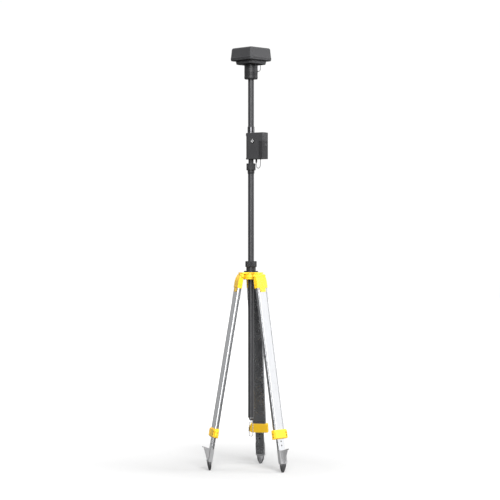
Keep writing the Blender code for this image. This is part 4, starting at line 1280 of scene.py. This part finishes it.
def build_crown():
    """The plate with its undercut edge, the hub under it and a knuckle for each leg's bolt."""
    low, high = extent("tripod_head")
    plate_low = high.z - 0.0090
    edge = 0.0020
    rim = 0.0430
    undercut = ((0.0036, 0.0), (0.0036, 0.0018), (0.0, 0.0026))
    rings = [[(x, y, plate_low + z) for x, y in crown_outline(inset)] for inset, z in undercut]
    for x, z in arc((0.0, 0.0), edge, 0.0, 90.0, 4):
        rings.append([(a, b, high.z - edge + z) for a, b in crown_outline(edge - x)])
    crown = lofted("fine_tripod_head", rings)
    hub = [
        (0.0, high.z - 0.0040), (rim, high.z - 0.0040), (rim, low.z + 0.0115, 0.0012),
        (rim - 0.0012, low.z + 0.0100, 0.0008), (rim - 0.0012, low.z + 0.0085, 0.0008),
        (rim, low.z + 0.0070, 0.0012), (rim, low.z, 0.0034), (0.0, low.z),
    ]
    parts = [turned("hub", filleted(hub, 5), sides=144)]
    bores = [rod("bore", 0.0194, (0.0, 0.0, low.z - 0.01), (0.0, 0.0, high.z + 0.01), sides=96)]
    for leg in LEGS:
        profile = [(-0.0200, 0.0130), (-0.0200, -0.0065), *arc((0.0, 0.0), 0.0083, -90.0, 30.0, 14)]
        profile.append((profile[-1][0], 0.0130))
        knuckle = extruded("knuckle", profile, -0.0146, 0.0146, ARM_FRAMES[leg], axis=1)
        parts.append(soften(knuckle, 0.0010, 2, 50.0))
        bores.append(rod("bolt_bore", BOLT_BORE, (0.0, -0.03, 0.0), (0.0, 0.03, 0.0), ARM_FRAMES[leg], 40))
    stand_for(cut(join(crown, *parts), *bores), "tripod_head")


def build_pole_lock():
    """The flange on the crown, the slotted collet and the fluted knob that closes it."""
    low, high = extent("head_flange")
    bore = 0.0194
    flange = [(bore, high.z, 0.0004), (high.x, high.z, 0.0014)]
    flange += [(high.x, low.z, 0.0006), (bore, low.z, 0.0004)]
    stand_turned("head_flange", flange, look="satin_black", sides=128)
    places = []
    for i in range(6):
        turn = Matrix.Rotation(math.radians(60.0 * i + 16.75), 4, "Z")
        places.append(shifted(turn, 0.0310, 0.0, high.z - 0.0002))
    trim(copies("flange_screws", screw(0.0025, 0.0014), places), "tripod", "dark_steel")
    seat = high.z + 0.0003
    low, high = extent("pole_collet")
    neck = 0.0190
    wide = 0.0250
    collar = extent("lock_knob")[0].z - 0.0003
    outline = [(neck, high.z, 0.0008), (neck, collar), (wide, collar, 0.0012)]
    outline += grooved(wide, (collar - 0.0045, collar - 0.0090), 0.0006, 0.0018)
    outline += [(wide, seat, 0.0006), (neck, seat), (neck, low.z, 0.0008)]
    outline += [(POLE_BORE, low.z, 0.0006), (POLE_BORE, high.z, 0.0006)]
    slots = []
    for turn in (20.0, 110.0):
        place = Matrix.Rotation(math.radians(turn), 4, "Z")
        slots.append(block("slot", (-0.030, -0.0010, 1.0530), (0.030, 0.0010, 1.0900), place=place))
    collet = turned("fine_pole_collet", filleted(outline))
    stand_for(cut(collet, *slots), "pole_collet", "satin_black")
    low, high = extent("lock_knob")
    lid = 1.0755
    mouth = POLE_BORE + 0.0005
    fluted = 0.0262
    outline = [
        (mouth, high.z, 0.0006), (0.0205, high.z, 0.0004), (0.0212, high.z - 0.0008, 0.0004),
        (0.0220, high.z - 0.0002, 0.0004), (high.x, high.z - 0.0004, 0.0052), (high.x, low.z, 0.0056),
        (neck + 0.0005, low.z, 0.0004), (neck + 0.0005, lid), (mouth, lid),
    ]
    levels = with_rows(filleted(outline, 7), fluted, 10)
    grip = flutes(12, 0.0026, low.z + 0.0010, high.z - 0.0010, fluted, 4.0)
    stand_for(turned("fine_lock_knob", levels, sides=192, warp=grip), "lock_knob", "satin_black")


# ------------------------------------------------------------------ legs


def on_legs(build, part=None, slot=None, frames=LEG_FRAMES, look=None, in_place=False):
    """Builds a piece once and puts a copy of it on each leg, named after the function that builds it.

    Without a slot it stands in for the CAD node of that name. With one it is an extra, which rides on a part
    of the leg or, with no part, on the tripod. In place, the leg's slant goes into the mesh, so that a corner
    of the piece's own box isn't outside the object.
    """
    pattern = build()
    for leg in LEGS:
        name = f"{leg}_{build.__name__}"
        place = frames[leg] @ pattern.matrix_world
        piece = placed(name if slot else f"fine_{name}", pattern.data.copy(), place)
        if in_place:
            piece.data.transform(place)
            piece.matrix_world = WORLD
        if slot:
            trim(piece, f"{leg}_{part}" if part else "tripod", slot, look)
        else:
            stand_for(piece, name, look)
    bpy.data.objects.remove(pattern, do_unlink=True)


def facing(side):
    """Turns a piece's z axis to y, or to -y for side -1."""
    return Matrix.Rotation(-side * math.pi / 2, 4, "X")


def leg_extent(part):
    return extent(f"rear_{part}", LEG_FRAMES["rear"])


def leg_pocket(low, high):
    """The hollow that an upper leg's end sits in."""
    outline = rounded_rectangle(0.0103, 0.0363, 0.0050, (LEG_MIDDLE, 0.0))
    return extruded("pocket", outline, low, high)


def hinge_bolt():
    """A hexagon head and nut, each on a washer, with the shaft between them."""
    bolt = rod("bolt", 0.0040, (0.0, -0.0415, 0.0), (0.0, 0.0415, 0.0), sides=40)
    parts = []
    for side in (-1, 1):
        parts.append(rod("washer", 0.0065, (0.0, side * 0.0378, 0.0), (0.0, side * 0.0388, 0.0), sides=48))
        head = rod("head", 0.0062, (0.0, side * 0.0387, 0.0), (0.0, side * 0.0428, 0.0), sides=6)
        parts.append(soften(head, 0.0006, 2))
    parts.append(rod("bolt_end", 0.0034, (0.0, 0.0420, 0.0), (0.0, 0.0430, 0.0), sides=32))
    return join(bolt, *parts)


def leg_bracket():
    """The shell over the leg's top: a rounded nose with a slot for the knuckle, and a tab with a lip."""
    outer = LEG_MIDDLE + 0.0122
    inner = LEG_MIDDLE - 0.0122
    bottom = -0.0657
    outline = [
        (outer, bottom), (outer, -0.0285, 0.0200), (outer - 0.0034, -0.0110, 0.0120),
        (outer - 0.0078, -0.0012), *arc((0.0, 0.0), 0.0085, 10.0, 180.0, 18),
        (inner, -0.0120, 0.0060), (inner, bottom),
    ]
    bracket = soften(extruded("bracket", filleted(outline, 6), -0.0375, 0.0375, axis=1), 0.0022, 4, 50.0)
    tab_outline = rounded_rectangle(0.0200, 0.0130, 0.0060, (0.0, -0.0730))
    tab = soften(extruded("tab", tab_outline, outer - 0.0018, outer - 0.0003, axis=0), 0.0004)
    return cut(
        join(bracket, tab), leg_pocket(-0.1000, -0.0277),
        block("lip", (outer - 0.0018, -0.0400, -0.0640), (outer + 0.001, 0.0400, -0.0624)),
        block("slot", (-0.030, -0.0150, -0.0190), (0.0020, 0.0150, 0.030)),
        rod("knuckle_way", 0.0091, (0.0, -0.0150, 0.0), (0.0, 0.0150, 0.0), sides=64),
        rod("bore", BOLT_BORE, (0.0, -0.05, 0.0), (0.0, 0.05, 0.0), sides=40),
    )


def bracket_screws():
    """Two screws in the tab and one in each side of the bracket."""
    outward = LEG_MIDDLE + 0.0117
    places = [Matrix.Translation((outward, y, -0.0790)) @ ACROSS_X for y in (-0.0120, 0.0120)]
    for side in (-1, 1):
        places.append(Matrix.Translation((LEG_MIDDLE, side * 0.0372, -0.0480)) @ facing(side))
    return copies("bracket_screws", screw(0.0026, 0.0008), places)


def leg_section():
    """Two edge tubes, each with a bevel and a fine groove in its side, and a recessed panel between them."""
    groove = [(0.0090, 0.0248), (0.0082, 0.0256), (0.0082, 0.0266), (0.0100, 0.0276)]
    outer = arc((0.0066, 0.03143), 0.0034, 0.0, 64.0, 6)
    side = [(0.0050, 0.0360), (-0.0042, 0.0360), (-0.0048, 0.0348), (-0.0058, 0.0348), (-0.0064, 0.0360)]
    inner = arc((-0.0072, 0.0332), 0.0028, 90.0, 180.0, 6)
    half = groove + outer + side + inner + [(-x, y) for x, y in reversed(groove[:3])]
    whole = half + [(-x, -y) for x, y in half]
    return [(LEG_MIDDLE + x, y) for x, y in whole]


def upper_leg():
    low, high = leg_extent("upper_leg")
    bottom = low.z - 0.01
    top = high.z + 0.01
    leg = extruded("leg", leg_section(), low.z, high.z)
    ways = [block("channel", (LEG_MIDDLE - 0.0079, -0.0229, bottom), (LEG_MIDDLE + 0.0079, 0.0229, top))]
    for y in (0.0304, -0.0304):
        ends = ((LEG_MIDDLE - 0.0056, y - 0.0014, bottom), (LEG_MIDDLE + 0.0070, y + 0.0014, top))
        ways.append(block("tube_way", *ends))
    return cut(leg, *ways)


def leg_clamp():
    """The clamp block: a fine groove round its top, ears and a pivot housing for the lever, and its ways."""
    top = -0.7984
    bottom = CLAMP_MIDDLE - 0.0240
    outline = rounded_rectangle(0.0120, 0.0470, 0.0050, (LEG_MIDDLE, 0.0))
    clamp = soften(extruded("clamp", outline, bottom, top), 0.0020, 4, 50.0)
    parts = []
    for z in (CLAMP_MIDDLE - 0.0155, CLAMP_MIDDLE + 0.0155):
        ends = ((LEG_MIDDLE + 0.0100, 0.0380, z - 0.0033), (0.0222, 0.0440, z + 0.0033))
        parts.append(block("ear", *ends, 0.0012))
    housing = rounded_rectangle(0.0100, 0.0120, 0.0050, (LEG_MIDDLE + 0.0010, 0.0420))
    housing = extruded("housing", housing, CLAMP_MIDDLE - 0.0205, CLAMP_MIDDLE + 0.0120)
    parts.append(soften(housing, 0.0020, 4, 50.0))
    groove = rounded_rectangle(0.0128, 0.0478, 0.0050, (LEG_MIDDLE, 0.0))
    core = rounded_rectangle(0.0114, 0.0464, 0.0046, (LEG_MIDDLE, 0.0))
    line = cut(extruded("line", groove, top - 0.0064, top - 0.0054), extruded("core", core, top - 0.01, top))
    way = ((LEG_MIDDLE - 0.0079, -0.0229, bottom - 0.01), (LEG_MIDDLE + 0.0079, 0.0229, CLAMP_MIDDLE))
    return cut(
        join(clamp, *parts), line, leg_pocket(-0.8259, top + 0.01), block("way", *way),
        rod("lever_bore", 0.0018, (*LEVER_AXIS, -0.86), (*LEVER_AXIS, -0.78), sides=24),
    )


def clamp_screws():
    """Two screws in the clamp's end and two in its pivot housing's."""
    places = []
    for side, reach in ((-1, 0.0466), (1, 0.0536)):
        for z in (-0.0120, 0.0040):
            place = Matrix.Translation((LEG_MIDDLE, side * reach, CLAMP_MIDDLE + z))
            places.append(place @ facing(side))
    return copies("clamp_screws", screw(0.0030, 0.0010), places)


def clamp_lever():
    """The cam lever: a plate with a sunk field and a ribbed finger end, its barrel and its pin."""
    place = Matrix.Translation((*LEVER_AXIS, CLAMP_MIDDLE))
    half = [
        (-0.0850, -0.0190, 0.0050), (-0.0060, -0.0190, 0.0024), (-0.0060, -0.0115, 0.0),
        (-0.0010, -0.0115, 0.0),
    ]
    outline = filleted(half + [(y, -z, radius) for y, z, radius in reversed(half)], 6)
    lever = soften(extruded("lever", outline, -0.0022, 0.0020, place, axis=0), 0.0009, 3, 50.0)
    rods = []
    for radius, reach, sides in ((0.0023, 0.0115, 40), (0.0015, 0.0185, 24)):
        rods.append(rod("pin", radius, (0.0, 0.0, -reach), (0.0, 0.0, reach), place, sides))
    field = rounded_rectangle(0.0250, 0.0130, 0.0040, (-0.0380, 0.0))
    dents = [extruded("field", field, 0.0014, 0.003, place, axis=0)]
    for i in range(5):
        y = -0.0800 + 0.0030 * i
        dents.append(block("rib", (0.0014, y - 0.0006, -0.0140), (0.003, y + 0.0006, 0.0140), place=place))
    return cut(join(lever, *rods), *dents)


def lever_screws():
    """Two screws that hold the lever's plate to its cam."""
    places = []
    for z in (-0.0068, 0.0068):
        places.append(Matrix.Translation((0.0214, 0.0355, CLAMP_MIDDLE + z)) @ ACROSS_X)
    return copies("lever_screws", screw(0.0038, 0.0010), places)


def leg_plugs():
    """A dished rubber plug in both faces of the lower tube, at both holes."""
    plug = [
        (0.0, -0.0012), (0.0016, -0.0010), (0.0024, 0.00015), (0.0038, 0.00015), (0.0038, -0.00030),
        (0.0023, -0.00030), (0.0023, -0.0020), (0.0, -0.0020),
    ]
    places = []
    for z in PLUG_LEVELS:
        for side in (1, -1):
            turn = Matrix.Rotation(side * math.pi / 2, 4, "Y")
            places.append(Matrix.Translation((LEG_MIDDLE + side * 0.0075, 0.0, z)) @ turn)
    return copies("leg_plugs", turned("plug", plug, sides=32), places)


def bolt_caps():
    """Push-on caps over the hinge bolt's head and nut."""
    cap = [
        (0.0, 0.0439), (0.0076, 0.0439, 0.0022), (0.0076, 0.0377, 0.0004), (0.0068, 0.0377),
        (0.0068, 0.0432), (0.0, 0.0432),
    ]
    pattern = turned("cap", filleted(cap, 5), sides=48)
    return copies("bolt_caps", pattern, [facing(side) for side in (1, -1)])


def lower_leg():
    low, high = leg_extent("lower_leg")
    outer = rounded_rectangle(0.0075, 0.0225, 0.0030, (LEG_MIDDLE, 0.0))
    inner = rounded_rectangle(0.0059, 0.0209, 0.0015, (LEG_MIDDLE, 0.0))
    leg = extruded("leg", outer, low.z, high.z)
    holes = [rod("hole", 0.0025, (-0.02, 0.0, z), (0.03, 0.0, z), sides=32) for z in PLUG_LEVELS]
    return cut(leg, extruded("inside", inner, low.z - 0.01, high.z + 0.01), *holes)


def upright(radius, height):
    """The leg frame's x and z of a point in the leg's upright plane, from its radius and height."""
    point = Vector((radius - HINGE_RADIUS, 0.0, height - HINGE_HEIGHT))
    point = LEG_FRAMES["rear"].inverted() @ (ARM_FRAMES["rear"] @ point)
    return point.x, point.z


def foot_shoe():
    """The cast shoe: a tongue in the tube, a rim under it, a wrap round it and a step on a gusset."""
    low = leg_extent("lower_leg")[0].z
    top = low - 0.0005
    bottom = low - 0.0073
    middle = LEG_MIDDLE
    shoe = block("shoe", (middle - 0.0082, -0.0205, bottom), (middle + 0.0120, 0.0205, top), 0.0018)
    ends = ((middle - 0.0055, -0.0204, top - 0.002), (middle + 0.0055, 0.0204, -0.9300))
    tongue = block("tongue", *ends, 0.0010)
    outline = rounded_rectangle(0.0100, 0.0243, 0.0034, (middle + 0.0015, 0.0))
    wrap = soften(extruded("wrap", outline, bottom + 0.0010, -0.9050), 0.0010, 3, 50.0)
    inside = block("inside", (middle - 0.0200, -0.0227, top - 0.0001), (middle + 0.0078, 0.0227, -0.8900))
    wrap = cut(wrap, inside)
    root = middle + 0.0095
    outline = [
        (*upright(0.2620, 0.1262), 0.0014), (*upright(0.2620, 0.1215), 0.0010),
        (*upright(0.2530, 0.1170), 0.0040), (*upright(0.2345, 0.0480), 0.0020),
        (root, bottom + 0.0025), (root, -0.9060),
    ]
    gusset = soften(extruded("gusset", filleted(outline), -0.0050, 0.0050, axis=1), 0.0014, 3, 50.0)
    return combine(wrap, "UNION", (shoe, tongue, gusset), crossing=True)


def foot_tip():
    """The steel point: a rounded oblong that narrows in a curve to a small flat on the ground."""
    start = leg_extent("lower_leg")[0].z - 0.0076
    rings = []
    steps = 14
    sides = 48
    for i in range(steps + 1):
        s = i / steps
        half_width = 0.0050 + 0.0145 * (1.0 - s**2.2)
        half_depth = 0.0045 + 0.0052 * (1.0 - s**1.5)
        ring = []
        for j in range(sides):
            angle = 2 * math.pi * (j + 0.5) / sides
            across = math.copysign(abs(math.sin(angle)) ** 0.6, math.sin(angle))
            along = math.copysign(abs(math.cos(angle)) ** 0.6, math.cos(angle))
            ground = upright(FOOT_RADIUS + half_depth * along, 0.0)
            x = (1.0 - s) * (LEG_MIDDLE + 0.0018 + half_depth * along) + s * ground[0]
            ring.append((x, half_width * across, (1.0 - s) * start + s * ground[1]))
        rings.append(ring)
    return soften(lofted("tip", rings), 0.0008, 3, 50.0)


def build_legs():
    on_legs(hinge_bolt, frames=ARM_FRAMES)
    for build in (leg_bracket, upper_leg, leg_clamp, clamp_lever, lower_leg):
        on_legs(build)
    on_legs(foot_shoe, in_place=True)
    on_legs(foot_tip, look="tip_steel", in_place=True)
    on_legs(bracket_screws, "upper", "dark_steel")
    on_legs(clamp_screws, "upper", "dark_steel")
    on_legs(lever_screws, "lever", "dark_steel", look="deep_black")
    on_legs(leg_plugs, "lower", "rubber", look="deep_black")
    on_legs(bolt_caps, None, "yellow", frames=ARM_FRAMES)


def finish_carried_over():
    """The CAD nodes that stay get their own materials."""
    for name, node in frame["nodes"].items():
        if not node.hide_render:
            node.data.materials.clear()
            node.data.materials.append(LOOKS[SLOTS[name]])


set_camera()
set_world()
set_lights()
add_floor()
add_leads()
build_cover()
build_gasket()
build_base()
build_plinth()
build_neck()
build_head_fittings()
build_poles()
build_coupling()
build_pole_end()
build_shells()
build_box_fittings()
build_battery()
build_crown()
build_pole_lock()
build_legs()
finish_carried_over()
